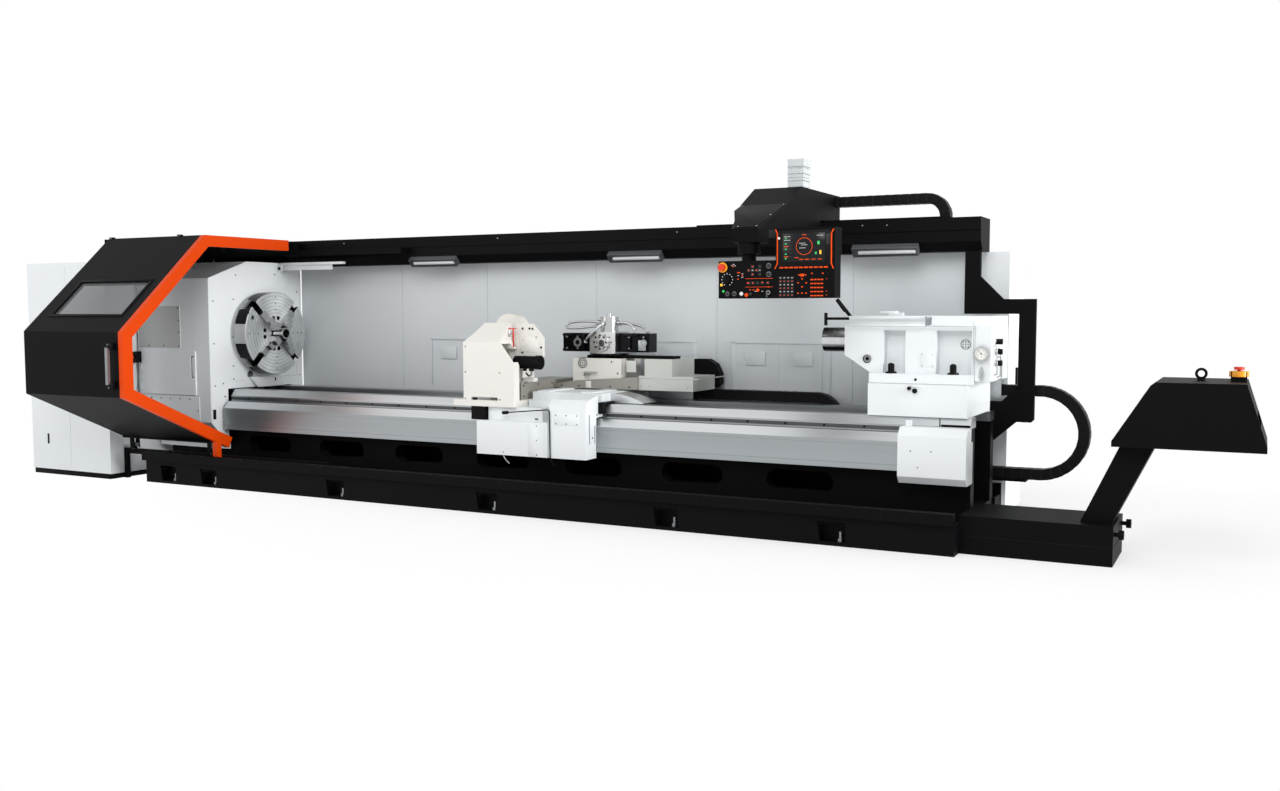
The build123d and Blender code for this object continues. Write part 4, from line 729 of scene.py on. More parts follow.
slabs("access_pull_bow", "access_door", white_coat, [
    at_y(-0.6666, ((-0.419, 0.985), (-0.394, 0.985), (-0.394, 1.168), (-0.419, 1.168)))], (0, -0.004, 0), 0.001)
blocks("cabinet_plinth", "frame", black_coat, [((-2.295, -0.9985, 0.0), (-1.195, -0.978, 0.05)),
       ((-1.202, -0.99, 0.0), (-1.19, 0.47, 0.05))], 0.001)
blocks("cabinet_pull", "frame", black_nylon, [((-2.085, -1.004, 0.3), (-2.06, -0.999, 0.4))], 0.003)
tell("headstock")

# %% [markdown]
# ## Chuck
# A screw socket with a bright rim and a smaller one show on the face of the chuck, between two jaws.

# %% Chuck pieces
ring("socket_ring", "spindle", bright_steel, (0.0, -0.305, 1.545), right, 0.016, 0.028, 0.003, 20)
bars("socket_hole", "spindle", dark_steel, [((-0.001, -0.305, 1.545), (0.0012, -0.305, 1.545), 0.0165),
     ((-0.001, -0.352, 1.59), (0.0012, -0.352, 1.59), 0.01)], sides=6)
tell("chuck")

# %% [markdown]
# ## Sliding door
# The pane sits in a black frame of folded sheet that stands a little proud of the sloping front. The handle
# is a bowed bar between two black brackets.

# %% Door pieces
slope_low, slope_high = Vector((0, -1.903, 1.433)), Vector((0, -0.995, 2.287))
climb = (slope_high - slope_low).normalized()
outward = Vector((0, -climb.z, climb.y))
pane_low, pane_high, pane_left, pane_right = 0.423 - 0.2085, 0.423 + 0.2085, -0.92, -0.04
rim = 0.03
strips = []
for low, high, left_x, right_x in (
    (pane_low - rim, pane_low, pane_left - rim, pane_right + rim),
    (pane_high, pane_high + rim, pane_left - rim, pane_right + rim),
    (pane_low, pane_high, pane_left - rim, pane_left),
    (pane_low, pane_high, pane_right, pane_right + rim),
):
    strips.append([Vector((x, 0, 0)) + slope_low + climb * s for x, s in
                   ((left_x, low), (right_x, low), (right_x, high), (left_x, high))])
slabs("window_frame", "door", black_coat, strips, outward * 0.006, 0.0015)
repaint("door_handle", black_nylon, (0.01, -2.0, 0.94), (0.06, -1.9, 1.02))
repaint("door_handle", black_nylon, (0.01, -2.0, 1.285), (0.06, -1.9, 1.36))
foot_front = -1.957
blocks("handle_feet", "door", black_nylon, between(foot_front, -1.9025, (
    (0.014, 0.955, 0.056, 1.02), (0.014, 1.285, 0.056, 1.345))), 0.006)
screws("handle_screws", "door", zinc_steel, front, at_y(foot_front, ((0.035, 0.97), (0.035, 1.33))), 0.006,
    0.003)
blocks("door_corner_lugs", "door", black_coat, [((-1.1, -1.0, 2.2895), (-1.06, -0.96, 2.3)),
       ((-0.2, -1.0, 2.2895), (-0.16, -0.96, 2.3))], 0.002)
tell("door")

# %% [markdown]
# ## Work lamps
# Each lamp is a dark tray on the slope of the beam with a frosted tube in it and a thin rim.

# %% Lamp pieces
lamp_top, lamp_foot = Vector((0, 0.299, 2.087)), Vector((0, 0.353, 2.024))
fall = (lamp_foot - lamp_top).normalized()
lamp_out = Vector((0, fall.z, -fall.y))
tubes, rims = [], []
for left_x, right_x in ((1.4, 1.93), (3.54, 4.05), (5.71, 6.225)):
    middle = (lamp_top + lamp_foot) / 2 + lamp_out * 0.004
    tubes.append((middle + Vector((left_x + 0.05, 0, 0)), middle + Vector((right_x - 0.02, 0, 0)), 0.015))
    for top, foot in ((0.0, 0.009), (0.074, 0.083)):
        rims.append([Vector((x, 0, 0)) + lamp_top + fall * s for x, s in
                     ((left_x, top), (right_x, top), (right_x, foot), (left_x, foot))])
    for start, end in ((left_x, left_x + 0.01), (right_x - 0.01, right_x)):
        rims.append([Vector((x, 0, 0)) + lamp_top + fall * s for x, s in
                     ((start, 0.009), (end, 0.009), (end, 0.074), (start, 0.074))])
bars("lamp_tubes", "frame", frosted, tubes, edge=0.006)
slabs("lamp_rims", "frame", zinc_steel, rims, lamp_out * 0.008)
screws("beam_screws", "frame", zinc_steel, front, at_y(0.32, (
    (5.792, 2.262), (5.984, 2.258), (0.6, 2.262), (2.4, 2.262), (4.2, 2.262))), 0.007, 0.003)
tell("lamps")

# %% [markdown]
# ## Cable chains
# A cable chain is a row of hinged plastic links. Each link here is one small rounded block that stands
# 1.5 mm proud of the solid loop, so that the gaps between the links show. The links follow the loop: a run
# along the top, a half circle and a run back below.


# %% Chain links
def chain_links(name, body, left_x, right_x, low, bend, near_y, far_y, pitch=0.07, height=0.078):
    """The links of one loop, each turned to follow the line that runs through the middle of the band."""
    radius = bend - height / 2
    centre = right_x - bend
    run = centre - left_x
    count = int((2 * run + math.pi * radius) / pitch)
    shape = bmesh.new()
    for number in range(count):
        s = (number + 0.5) * (2 * run + math.pi * radius) / count
        if s < run:
            x, z, tilt = left_x + s, low + 2 * bend - height / 2, 0.0
        elif s < run + math.pi * radius:
            tilt = (s - run) / radius
            x, z = centre + radius * math.sin(tilt), low + bend + radius * math.cos(tilt)
        else:
            x, z, tilt = centre - (s - run - math.pi * radius), low + height / 2, math.pi
        made = bmesh.ops.create_cube(shape, size=1.0)["verts"]
        bmesh.ops.scale(shape, vec=(pitch * 0.84, far_y - near_y + 0.003, height + 0.003), verts=made)
        bmesh.ops.bevel(shape, geom=list({e for v in made for e in v.link_edges}), offset=0.006, affect="EDGES",
                        segments=1, profile=0.5, material=-1)
        shape.verts.ensure_lookup_table()
        made = shape.verts[-24:]
        bmesh.ops.rotate(shape, cent=(0, 0, 0), matrix=Matrix.Rotation(tilt, 3, "Y"), verts=made)
        bmesh.ops.translate(shape, vec=(x, (near_y + far_y) / 2, z), verts=made)
    piece(name, shape, black_nylon, body, 20.0)
    print(name, "links", count)


chain_links("tailstock_links", "tailstock_chain", 6.52, 7.47, 0.35, 0.35, 0.43, 0.53)
chain_links("carriage_links", "carriage_chain", 3.66, 5.6, 0.494, 0.225, 0.43, 0.53)
chain_links("pendant_links", "pendant_chain", 5.2, 6.38, 2.155, 0.183, 0.667, 0.763)
tell("chains")

# %% [markdown]
# ## Operator panel
# The panel is a black box with a raised screen unit, an orange line down each side of it, and membrane keys.
# The keys are low blocks in rows, without words. The screen shows a plain dial and a few coloured bars, as
# the picture on any such screen does.

# %% Panel pieces
panel_y = -1.0
glass_depth = 0.0075
blocks("screen_bezel", "panel", black_nylon, [((5.604, panel_y - 0.006, 1.888), (5.98, panel_y + 0.001, 2.15))],
    0.003)
blocks("screen_glass", "panel", screen_face, [
    ((5.64, panel_y - glass_depth, 1.938), (5.94, panel_y - 0.005, 2.13))], 0.001)
blocks("side_strip", "panel", key_plastic, [((5.948, panel_y - 0.008, 2.048), (5.971, panel_y - 0.005, 2.121))],
    0.001)


def marks(name, finish, places, width, height, proud=0.0015, base=0.0):
    """Low blocks on the panel, each centred on an (x, z) place."""
    shape = bmesh.new()
    for x, z in places:
        block_in(shape, (x - width / 2, panel_y - base - proud, z - height / 2),
                 (x + width / 2, panel_y - base + 0.0005, z + height / 2))
    piece(name, shape, finish, "panel")


def grid(left_x, step_x, columns, high, step_z, rows):
    """Places in columns, from the left, each read downwards."""
    return [(left_x + step_x * i, high - step_z * k) for i in range(columns) for k in range(rows)]


def on_screen(name, finish, places, width, height, proud=0.0008):
    """Marks that lie on the glass of the screen."""
    marks(name, finish, places, width, height, proud, glass_depth)


def stripes(name, finish, lines, width=0.0065):
    """Bent stripes on the panel, each an open run of (x, z) places."""
    faces = []
    for line in lines:
        for (x0, z0), (x1, z1) in zip(line, line[1:]):
            faces.append([(x0 - width / 2, panel_y, z0), (x0 + width / 2, panel_y, z0),
                          (x1 + width / 2, panel_y, z1), (x1 - width / 2, panel_y, z1)])
    slabs(name, "panel", finish, faces, (0, -0.008, 0))


stripes("orange_stripes", orange_print_painted_glow, (
    ((5.586, 2.16), (5.6, 2.13), (5.601, 1.928), (5.583, 1.892)),
    ((6.0, 2.152), (5.984, 2.124), (5.985, 1.922), (5.999, 1.888)),
))
ring("screen_dial", "panel", orange_print_painted_glow, (5.794, panel_y - glass_depth, 2.041), front, 0.055, 0.0585, 0.0008,
     40)
on_screen("screen_bars_grey", key_plastic, grid(5.68, 0.0, 1, 2.118, 0.024, 7), 0.06, 0.005, 0.0006)
on_screen("screen_bars_pale", frosted, [(5.78, 2.062), (5.794, 2.05), (5.782, 2.03), (5.672, 2.108),
    (5.672, 2.084), (5.905, 2.112)], 0.046, 0.003)
on_screen("screen_bars_green", green_lamp, [(5.662, 2.096), (5.662, 2.06), (5.662, 2.024), (5.662, 1.99),
    (5.662, 1.96), (5.877, 1.99), (5.877, 1.998)], 0.012, 0.007)
on_screen("screen_bars_red", orange_print_painted_glow, [(5.665, 2.042), (5.665, 1.972), (5.775, 1.953), (5.815, 1.953),
    (5.86, 1.953), (5.905, 1.953), (5.794, 2.118), (5.74, 1.965)], 0.03, 0.005)
on_screen("screen_level_green", green_lamp, [(5.895, 2.063)], 0.015, 0.022)
on_screen("screen_level_amber", amber_lamp, [(5.909, 1.999)], 0.013, 0.026)
marks("soft_keys", orange_print_painted_glow, [(5.632 + 0.0351 * i, 1.899) for i in range(10)], 0.027, 0.009, 0.003, 0.006)
marks("letter_keys", key_plastic, grid(5.623, 0.028, 4, 1.83, 0.0234, 6), 0.021, 0.017)
marks("letter_marks", pale_print_painted_glow, grid(5.623, 0.028, 4, 1.83, 0.0468, 3), 0.009, 0.004, 0.0025)
marks("letter_marks_orange", orange_print_painted_glow, grid(5.623, 0.028, 4, 1.8066, 0.0468, 3), 0.009, 0.004, 0.0025)
marks("cursor_keys", orange_print_painted_glow, [(5.779, 1.822), (5.75, 1.795), (5.808, 1.795), (5.779, 1.768), (5.75, 1.725),
    (5.779, 1.725), (5.808, 1.725), (5.848, 1.858), (5.925, 1.857), (5.757, 1.848), (5.802, 1.848)], 0.011,
    0.008, 0.002)
marks("home_key", orange_print_painted_glow, [(5.779, 1.847)], 0.026, 0.018, 0.0025)
marks("number_keys", orange_print_painted_glow, grid(5.848, 0.0235, 4, 1.816, 0.027, 5), 0.019, 0.008, 0.0025)
marks("number_side_marks", orange_print_painted_glow, [(5.952, 1.82), (5.952, 1.737), (5.952, 1.712)], 0.01, 0.003, 0.0015)
marks("red_rules", orange_print_painted_glow, [(5.4655, 1.828), (5.4655, 1.77)], 0.205, 0.0025, 0.001)
marks("axis_keys", key_plastic, [(5.417, 1.885), (5.389, 1.885), (5.446, 1.885), (5.417, 1.911), (5.417, 1.857),
    (5.47, 1.911), (5.47, 1.885), (5.47, 1.857), (5.388, 1.798), (5.42, 1.798), (5.455, 1.798), (5.49, 1.798),
    (5.53, 1.798)], 0.022, 0.02)
marks("axis_marks", orange_print_painted_glow, [(5.389, 1.885), (5.446, 1.885), (5.417, 1.911), (5.417, 1.857), (5.388, 1.798),
    (5.38, 1.798), (5.42, 1.798), (5.49, 1.802), (5.53, 1.798), (5.308, 1.871), (5.341, 1.85), (5.308, 1.826),
    (5.32, 1.87), (5.27, 1.914), (5.4, 1.75), (5.425, 1.75), (5.535, 1.77)], 0.01, 0.007, 0.0025)
marks("pale_marks", pale_print_painted_glow, [(5.262, 1.921), (5.284, 1.918), (5.276, 1.928), (5.417, 1.885), (5.341, 1.862),
    (5.341, 1.838), (5.31, 1.85), (5.47, 1.885), (5.44, 1.74), (5.49, 1.74)], 0.012, 0.003, 0.003)
dial_ring = bmesh.new()
for step in range(11):
    turn = math.radians(-150 + 30 * step)
    x, z = 5.226 + 0.041 * math.sin(turn), 1.823 + 0.041 * math.cos(turn)
    block_in(dial_ring, (x - 0.003, panel_y - 0.001, z - 0.003), (x + 0.003, panel_y + 0.0005, z + 0.003))
piece("dial_marks", dial_ring, pale_print_painted_glow, "panel")
ring("stop_collar", "panel", yellow_shell, (5.191, panel_y, 1.908), front, 0.0245, 0.036, 0.006)
ringed = ((5.537, 1.914, 0.015), (5.538, 1.856, 0.015), (5.229, 1.724, 0.012), (5.282, 1.724, 0.012))
white_button = (5.336, 1.724, 0.012)
for name, finish, places in (
    ("grey_buttons", key_plastic, (*ringed, (5.405, 1.722, 0.011))),
    ("white_buttons", pale_print_painted_glow, (white_button, (5.612, 2.099, 0.009))),
    ("orange_buttons", orange_print_painted_glow, ((5.374, 1.715, 0.013), (5.458, 1.748, 0.011))),
    ("lamp_buttons", amber_lamp, ((5.185, 1.786, 0.009),)),
    ("start_button", green_lamp, ((5.2, 1.742, 0.008),)),
):
    bars(name, "panel", finish,
         [((x, panel_y - (0.0065 if z > 2 else 0.0), z), (x, panel_y - 0.011, z), r) for x, z, r in places])
shape = bmesh.new()
for x, z, r in (*ringed, white_button):
    ring_in(shape, (x, panel_y, z), front, r, r + 0.004, 0.004, sides=20)
ring_in(shape, (5.538, panel_y - 0.012, 1.731), front, 0.008, 0.016, 0.003, sides=20)
block_in(shape, (5.533, panel_y - 0.034, 1.724), (5.535, panel_y - 0.012, 1.738), 0.0004)
ring_in(shape, (5.534, panel_y - 0.03, 1.706), right, 0.01, 0.012, 0.0015, sides=20)
piece("button_rims_and_key", shape, zinc_steel, "panel")
slabs("arm_cover", "pendant", black_coat, [[
    (x, y, 2.175 + (y + 1.0) * 0.3613)
    for x, y in ((5.275, -0.985), (5.445, -0.985), (5.445, -0.425), (5.09, -0.425), (5.09, -0.56))]],
    (0, -0.0014, 0.0038), 0.001)
screws("arm_screws", "pendant", zinc_steel, Vector((0, -0.34, 0.94)).normalized(),
    [(x, y - 0.0014, 2.1788 + (y + 1.0) * 0.3613) for x, y in ((5.29, -0.965), (5.43, -0.965), (5.43, -0.445),
    (5.105, -0.445), (5.43, -0.7))], 0.006, 0.003)
tell("panel")

# %% [markdown]
# ## Ways
# Along the front of the bed a strip joins the way to the rack, with the rack's screws every 0.3 m. The sheet
# below has two folded lines. A black cap closes the right end of the front way.

# %% Way pieces
blocks("rack_strip", "frame", cast_iron, [((-0.17, -0.428, 0.761), (6.34, -0.412, 0.791))], 0.0)
screws("rack_screws", "frame", dark_steel, front, [(0.05 + 0.3 * i, -0.428, 0.777) for i in range(21)], 0.009,
    0.003)
blocks("cover_fold", "frame", zinc_steel,
       between(-0.5262, -0.5248, ((-0.17, 0.524, 6.34, 0.527), (-0.17, 0.664, 6.34, 0.666))), 0.0)
blocks("way_end_cap", "frame", black_coat, [((6.6, -0.4335, 0.792), (6.8, -0.428, 0.816)),
       ((6.588, -0.436, 0.8), (6.594, -0.428, 0.858))], 0.001)
screws("drive_cover_screws", "frame", zinc_steel, front, at_y(-0.6, (
    (6.431, 0.639), (6.573, 0.642), (6.482, 0.527))), 0.006, 0.002)
tell("ways")

# %% [markdown]
# ## Rear wall
# Two of the wall's sheets carry a raised access frame with two low plates on it.

# %% Wall pieces
wall_y = 0.562
blocks("wall_frames", "frame", wall_coat, between(wall_y - 0.005, wall_y + 0.001, [
    (left_x + start, low, left_x + end, high) for left_x in (1.45, 4.6) for start, low, end, high in (
        (0.0, 0.9, 0.012, 1.345), (0.85, 0.9, 0.862, 1.345), (0.0, 1.333, 0.862, 1.345),
        (0.12, 1.15, 0.3, 1.262), (0.55, 1.15, 0.71, 1.262))]), 0.0015)
blocks("wall_grips", "frame", wall_coat, [((4.02, wall_y - 0.004, 1.335), (4.27, wall_y + 0.001, 1.347))],
    0.001)
tell("wall")

# %% [markdown]
# ## Carriage
# The guard over the gear case is bolted on with black screws, and a servo motor with cooling ribs hangs
# beside it. The apron has an inset plate, a bent oil pipe and a screwed plate at its right.

# %% Carriage pieces
screws("case_screws", "carriage", dark_steel, front, at_y(-0.505,
    ((3.198, 1.463), (3.265, 1.463), (3.294, 1.461), (3.209, 1.37), (3.33, 1.389), (3.375, 1.31),
    (3.194, 1.267))), 0.009, 0.005)
blocks("case_plate", "carriage", cream_coat, [((3.175, -0.509, 1.272), (3.34, -0.504, 1.392))], 0.002)
bars("oil_valve", "carriage", bright_steel, [((3.1, -0.56, 1.395), (3.1, -0.56, 1.458), 0.012),
     ((3.1, -0.56, 1.415), (3.1, -0.56, 1.435), 0.017), ((3.1, -0.56, 1.425), (3.13, -0.56, 1.425), 0.008)])
blocks("valve_handle", "carriage", red_knob, [((3.098, -0.567, 1.459), (3.172, -0.553, 1.468)),
       ((3.136, -0.56, 1.31), (3.15, -0.556, 1.458))], 0.002)
motor_axis = (-0.565, 1.19)
ribs = bmesh.new()
for number in range(5):
    ring_in(ribs, (3.366 + 0.009 * number, *motor_axis), right, 0.05, 0.0575, 0.005, sides=28)
for turn in range(0, 360, 45):
    out = Vector((0, math.cos(math.radians(turn)), math.sin(math.radians(turn)))) * 0.045
    bar_in(ribs, Vector((3.408, *motor_axis)) + out, Vector((3.4135, *motor_axis)) + out, 0.005, sides=8)
piece("motor_ribs", ribs, dark_steel, "carriage")
blocks("motor_plug", "carriage", black_nylon, [((3.315, -0.6, 1.12), (3.345, -0.56, 1.15)),
       ((3.25, -0.59, 1.12), (3.275, -0.56, 1.14))], 0.004)
pipe("motor_lead", "carriage", zinc_steel, [(3.33, -0.58, 1.125), (3.33, -0.58, 1.095), (3.31, -0.578, 1.08),
     (3.28, -0.56, 1.085), (3.255, -0.545, 1.1)], 0.008)
blocks("motor_ledge", "carriage", cream_coat, [((3.18, -0.505, 1.03), (3.3, -0.44, 1.06))], 0.003)
screws("guard_screws", "carriage", zinc_steel, front, at_y(-0.7, (
    (2.765, 1.316), (2.763, 1.107), (2.76, 0.889), (3.1, 0.889), (3.1, 1.107))), 0.007, 0.003)
blocks("guard_foot", "carriage", black_nylon, [((2.832, -0.703, 0.88), (2.875, -0.69, 0.9))], 0.003)
screws("cross_screws", "carriage", dark_steel, right, at_x(3.2005,
    [(y, z) for y in (-0.5, -0.28, -0.06) for z in (0.995, 0.905)]), 0.007, 0.003)
plate_y = -0.7025
blocks("apron_plate", "carriage", white_coat, between(plate_y, -0.6995, (
    (3.37, 0.445, 3.462, 0.7), (3.617, 0.707, 3.838, 0.796))), 0.001)
screws("apron_screws", "carriage", zinc_steel, front, [
    *at_y(plate_y, ((3.45, 0.69), (3.45, 0.575), (3.45, 0.458))), (3.13, -0.7, 0.465),
    *at_y(plate_y, [(x, z) for z in (0.785, 0.718) for x in (3.631, 3.727, 3.824)])], 0.006, 0.003)
blocks("apron_slot", "carriage", black_nylon, [((3.435, -0.703, 0.74), (3.465, -0.698, 0.752))], 0.003)
pipe("oil_pipe", "carriage", dark_steel, [*at_y(-0.708, ((3.169, 0.788), (3.545, 0.824), (3.572, 0.822),
    (3.575, 0.795), (3.579, 0.46), (3.582, 0.425))), (3.612, -0.7, 0.384)], 0.005)
bars("oil_knob", "carriage", black_nylon, [((3.135, -0.712, 0.785), (3.185, -0.712, 0.79), 0.014)])
pipe("drain_stub", "carriage", cover_steel, at_y(-0.69, (
    (3.123, 0.442), (3.128, 0.41), (3.183, 0.372))), 0.005)
screws("column_screws", "carriage", dark_steel, right, at_x(3.9, (
    (-0.518, 0.783), (-0.59, 0.605), (-0.513, 0.604))), 0.007, 0.003)
blocks("column_strips", "carriage", cover_steel, [((3.898, -0.645, 0.56), (3.904, -0.637, 0.79)),
       ((3.898, -0.56, 0.56), (3.904, -0.552, 0.7))], 0.001)
slabs("cross_slide_skirt", "cross_slide", base_coat, [
    at_y(-0.0302, ((3.515, 0.96), (3.567, 0.96), (3.567, 1.018), (3.515, 1.018)))], (0, -0.003, 0), 0.001)
tell("carriage")

# %% [markdown]
# ## Cross slide and turret
# The slide has a vent with punched holes, a folded bracket and a light plate at the front. A ring of screws
# lies around the bore in the turret's front, and the tool blocks beside it have clamps and screws.

# %% Slide and turret pieces
vent_x, vent_z = 3.482, 1.168
vent = bmesh.new()
ring_in(vent, (vent_x, -0.0205, vent_z), front, 0.036, 0.045, 0.003)
turns = [math.tau * step / 8 for step in range(8)]
for x, z in [(0.024 * math.cos(turn), 0.024 * math.sin(turn)) for turn in turns] + [(0.0, 0.0)]:
    bar_in(vent, (vent_x + x, -0.0195, vent_z + z), (vent_x + x, -0.0225, vent_z + z), 0.007, sides=10)
piece("vent_disc", vent, zinc_steel, "cross_slide")
screws("slide_screws", "cross_slide", dark_steel, front, [
    *at_y(-0.0205, ((3.76, 1.182), (3.816, 1.087))),
    *at_y(-0.03, [(x, 0.975) for x in (3.28, 3.45, 3.75, 3.93)])], 0.007, 0.003)
slabs("slide_bracket", "cross_slide", bright_steel, [[(3.495, -0.022, 1.094), (3.624, -0.022, 1.094),
    (3.624, -0.052, 1.086), (3.495, -0.052, 1.086)], [(3.51, -0.052, 1.086), (3.56, -0.052, 1.086),
    (3.56, -0.055, 1.06), (3.51, -0.055, 1.06)]], (0, 0.002, 0.003), 0.0)
blocks("slide_plate", "cross_slide", box_coat, [((3.9, -0.024, 1.1), (3.99, -0.019, 1.195))], 0.002)
blocks("box_lip", "cross_slide", box_coat, [((4.003, -0.004, 1.05), (4.545, 0.001, 1.058)),
       ((4.54, -0.004, 1.05), (4.545, 0.52, 1.058))], 0.0015)
screws("box_screws", "cross_slide", zinc_steel, front, [(4.1, -0.0005, 0.985), (4.45, -0.0005, 0.985)], 0.005,
    0.002)
socket = bmesh.new()
for turn in range(0, 360, 45):
    x, z = 3.665 + 0.056 * math.cos(math.radians(turn)), 1.345 + 0.056 * math.sin(math.radians(turn))
    screw_in(socket, (x, -0.05, z), front, 0.009, 0.004)
piece("turret_screws", socket, dark_steel, "turret")
holder_front = 0.031
holders = bmesh.new()
for x in (3.3, 3.405, 3.9, 4.035):
    for z in (1.292, 1.388):
        screw_in(holders, (x, holder_front, z), front, 0.01, 0.006)
ring_in(holders, (3.405, holder_front, 1.34), front, 0.02, 0.04, 0.008)
ring_in(holders, (4.035, holder_front, 1.34), front, 0.016, 0.03, 0.006)
piece("holder_screws", holders, zinc_steel, "turret")
blocks("holder_clamps", "turret", dark_steel, [*between(0.024, 0.033, (
    (3.256, 1.268, 3.36, 1.284), (3.256, 1.396, 3.36, 1.412), (3.845, 1.268, 3.98, 1.29),
    (3.845, 1.39, 3.98, 1.412))), ((3.45, 0.02, 1.27), (3.476, 0.033, 1.41))], 0.003)
blocks("holder_plate", "turret", cover_steel, [((3.985, 0.026, 1.277), (4.055, 0.032, 1.362))], 0.002)
tell("slide and turret")

# %% [markdown]
# ## Tailstock
# The body is a painted casting under two sheet lids with folded lips. The front carries a pressure gauge,
# a sight glass, a filler grille and the nuts that clamp the body to its base.

# %% Tailstock pieces
tail_front = -0.362
blocks("lid_lips", "tailstock", white_coat, [((5.905, -0.372, 1.556), (6.462, -0.34, 1.566)),
       ((5.89, -0.384, 1.497), (6.462, -0.376, 1.507)), ((6.5, -0.386, 1.497), (6.8, -0.376, 1.507)),
       ((6.1, -0.25, 1.586), (6.22, -0.18, 1.602))], 0.003)
blocks("lid_seam", "tailstock", cover_steel, [
    ((5.89, -0.3815, 1.494), (6.8, -0.3795, 1.4965)), ((6.466, -0.3815, 1.5), (6.4685, -0.36, 1.566)),
    *between(tail_front - 0.0015, tail_front + 0.001, (
        (6.795, 1.09, 6.7975, 1.53), (6.7975, 1.239, 6.911, 1.2415))),
    ((6.067, -0.4015, 1.09), (6.768, -0.398, 1.0935))], 0.0)
gauge_x, gauge_z = 6.852, 1.31
ring("gauge_rim", "tailstock", bright_steel, (gauge_x, tail_front, gauge_z), front, 0.041, 0.051, 0.014, 40)
bars("gauge_face", "tailstock", dial_paper,
     [((gauge_x, tail_front + 0.001, gauge_z), (gauge_x, tail_front - 0.009, gauge_z), 0.0415)], 0.0, 40)
scale = bmesh.new()
for step in range(28):
    turn = math.radians(-135 + 10 * step)
    out = Vector((math.sin(turn), 0, math.cos(turn)))
    start = Vector((gauge_x, tail_front - 0.0095, gauge_z)) + out * (0.028 if step % 3 == 0 else 0.032)
    bar_in(scale, start, start + out * (0.008 if step % 3 == 0 else 0.004), 0.0008, sides=6)
needle = Vector((gauge_x, tail_front - 0.0105, gauge_z))
bar_in(scale, needle - Vector((-0.008, 0, 0.008)), needle + Vector((-0.02, 0, 0.018)), 0.0012, sides=6)
bar_in(scale, needle, needle + Vector((0, -0.002, 0)), 0.005, sides=12)
for x, z in ((6.838, 1.33), (6.866, 1.33), (6.872, 1.302), (6.832, 1.302), (6.852, 1.288)):
    block_in(scale, (x - 0.003, tail_front - 0.0095, z - 0.0015), (x + 0.003, tail_front - 0.0088, z + 0.0015))
piece("gauge_scale", scale, dark_steel, "tailstock")
ring("sight_glass_rim", "tailstock", bright_steel, (6.854, tail_front, 1.169), front, 0.01, 0.018, 0.006,
     stretch=(1.0, 2.7))
blocks("sight_glass", "tailstock", cover_steel, [((6.849, tail_front - 0.004, 1.142),
    (6.859, tail_front + 0.001, 1.197))], 0.002)
grille = bmesh.new()
ring_in(grille, (6.719, -0.25, 1.369), front, 0.03, 0.036, 0.003)
for x in (-0.018, 0.0, 0.018):
    for z in (-0.018, 0.0, 0.018):
        bar_in(grille, (6.719 + x, -0.249, 1.369 + z), (6.719 + x, -0.252, 1.369 + z), 0.006, sides=10)
piece("filler_grille", grille, zinc_steel, "tailstock")
ring("disc_ring", "tailstock", zinc_steel, (6.043, -0.348, 1.261), front, 0.014, 0.026, 0.004)
domes = bmesh.new()
for x in (6.217, 6.656):
    made = bmesh.ops.create_uvsphere(domes, u_segments=20, v_segments=10, radius=0.024)["verts"]
    bmesh.ops.scale(domes, vec=(1.0, 1.0, 0.8), verts=made)
    bmesh.ops.translate(domes, vec=(x, -0.345, 1.216), verts=made)
    ring_in(domes, (x, -0.345, 1.16), above, 0.024, 0.04, 0.01)
piece("clamp_nut_domes", domes, black_nylon, "tailstock")
blocks("rating_plate", "tailstock", white_coat, [((6.427, -0.3425, 1.207), (6.52, -0.338, 1.308)),
       ((6.377, -0.4035, 1.066), (6.459, -0.398, 1.086))], 0.001)
screws("plate_screws", "tailstock", zinc_steel, front, at_y(-0.3425,
    [(x, z) for x in (6.436, 6.511) for z in (1.216, 1.299)]), 0.004, 0.002)
bars("body_plugs", "tailstock", black_nylon, [((6.402, -0.379, 1.121), (6.402, -0.3825, 1.121), 0.01),
    ((6.365, -0.399, 1.06), (6.365, -0.418, 1.06), 0.013), ((6.405, -0.399, 1.043), (6.405, -0.42, 1.043),
    0.017)])
for name, finish, start, end, radius in (("knob_collars", bright_steel, 6.911, 6.922, 0.022),
                                         ("knob_tips", dark_steel, 6.945, 6.962, 0.02)):
    bars(name, "tailstock", finish, [((start, -0.2, z), (end, -0.2, z), radius) for z in (1.39, 1.32, 1.24)])
for number, (y, z, drop) in enumerate(((-0.26, 1.36, 1.16), (-0.14, 1.34, 1.14), (-0.09, 1.28, 1.12))):
    pipe("end_pipe_%d" % number, "tailstock", bright_steel, [(6.91, y, z), (6.932, y, z), (6.936, y, z - 0.02),
         (6.936, y + 0.01, drop + 0.02), (6.932, y + 0.012, drop), (6.91, y + 0.012, drop)], 0.005)
bars("lever_grip", "clamp_lever", black_nylon, [((5.79, -0.079, 1.602), (5.722, -0.079, 1.69), 0.015)], 0.005)
tell("tailstock")

# %% [markdown]
# ## Chip conveyor
# The stop button sits in a yellow-orange shell. The tank is folded along a line near its foot.

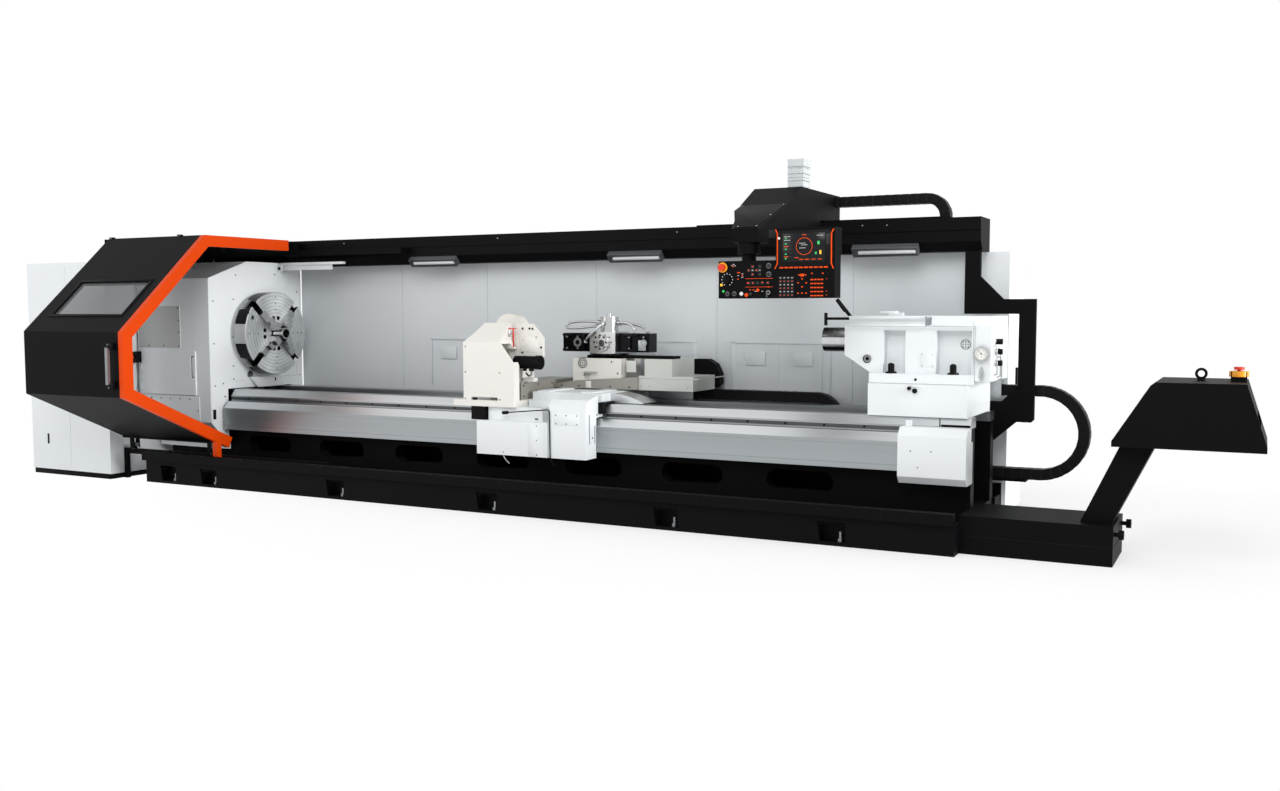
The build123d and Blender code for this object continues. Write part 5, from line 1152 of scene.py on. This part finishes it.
# %% Conveyor pieces
ring("stop_shell", "frame", yellow_shell, (8.44, -0.53, 1.2), above, 0.034, 0.056, 0.034, 28)
blocks("tank_folds", "frame", black_nylon, [((6.83, -0.8165, 0.118), (7.768, -0.8145, 0.123))], 0.0)
tell("conveyor")

# %% [markdown]
# ## Tray and signal tower
# The tray's rim is bolted together in sections, with screws in pairs. The tower's lenses are stacked, with a
# thin seal between each two.

# %% Tray screws and tower seals
screws("tray_screws", "frame", dark_steel, front, [(0.55 + 1.3 * i + step, -1.0, z) for i in range(5)
       for step, z in ((0.0, 0.262), (0.16, 0.262), (0.6, 0.24), (0.76, 0.24))], 0.009, 0.003)
blocks("tray_joints", "frame", black_nylon, between(-1.0015, -0.999, [
    (1.1 + 1.3 * i, 0.2, 1.104 + 1.3 * i, 0.28) for i in range(5)]), 0.0)
blocks("tower_seals", "pendant", zinc_steel, between(-0.1015, 0.0515, [
    (5.3295, z, 5.4585, z + 0.005) for z in (2.582, 2.635, 2.688)]), 0.001)
tell("tray and tower")

# %% [markdown]
# ## Back and right end
# The photograph doesn't show the back, so this is the usual build: the wall's sheets are stiffened by folded
# ribs, the left cabinet breathes through louvres, and its doors have black swing handles.

# %% Back pieces
blocks("wall_ribs", "frame", wall_coat, between(0.599, 0.614, [
    (0.45 + 1.0 * i, 0.64, 0.49 + 1.0 * i, 2.0) for i in range(5)]), 0.003)
shape = bmesh.new()
for left_x in (-2.19, -1.62):
    for low_z in (0.3, 1.62):
        for row in range(8):
            z = low_z + 0.03 * row
            slab_in(shape, [(left_x, 0.4995, z + 0.016), (left_x + 0.32, 0.4995, z + 0.016),
                (left_x + 0.32, 0.509, z), (left_x, 0.509, z)], (0, -0.002, -0.002))
piece("cabinet_louvres", shape, white_coat, "frame")
blocks("cabinet_handles", "frame", black_nylon, [((-1.8, 0.499, 1.0), (-1.77, 0.515, 1.16)),
       ((-1.72, 0.499, 1.0), (-1.69, 0.515, 1.16)), ((6.849, 0.93, 1.0), (6.865, 0.96, 1.16))], 0.004)
blocks("cabinet_door_gap", "frame", box_coat, [((-1.747, 0.4995, 0.09), (-1.743, 0.5015, 2.035))], 0.0)
tell("back")
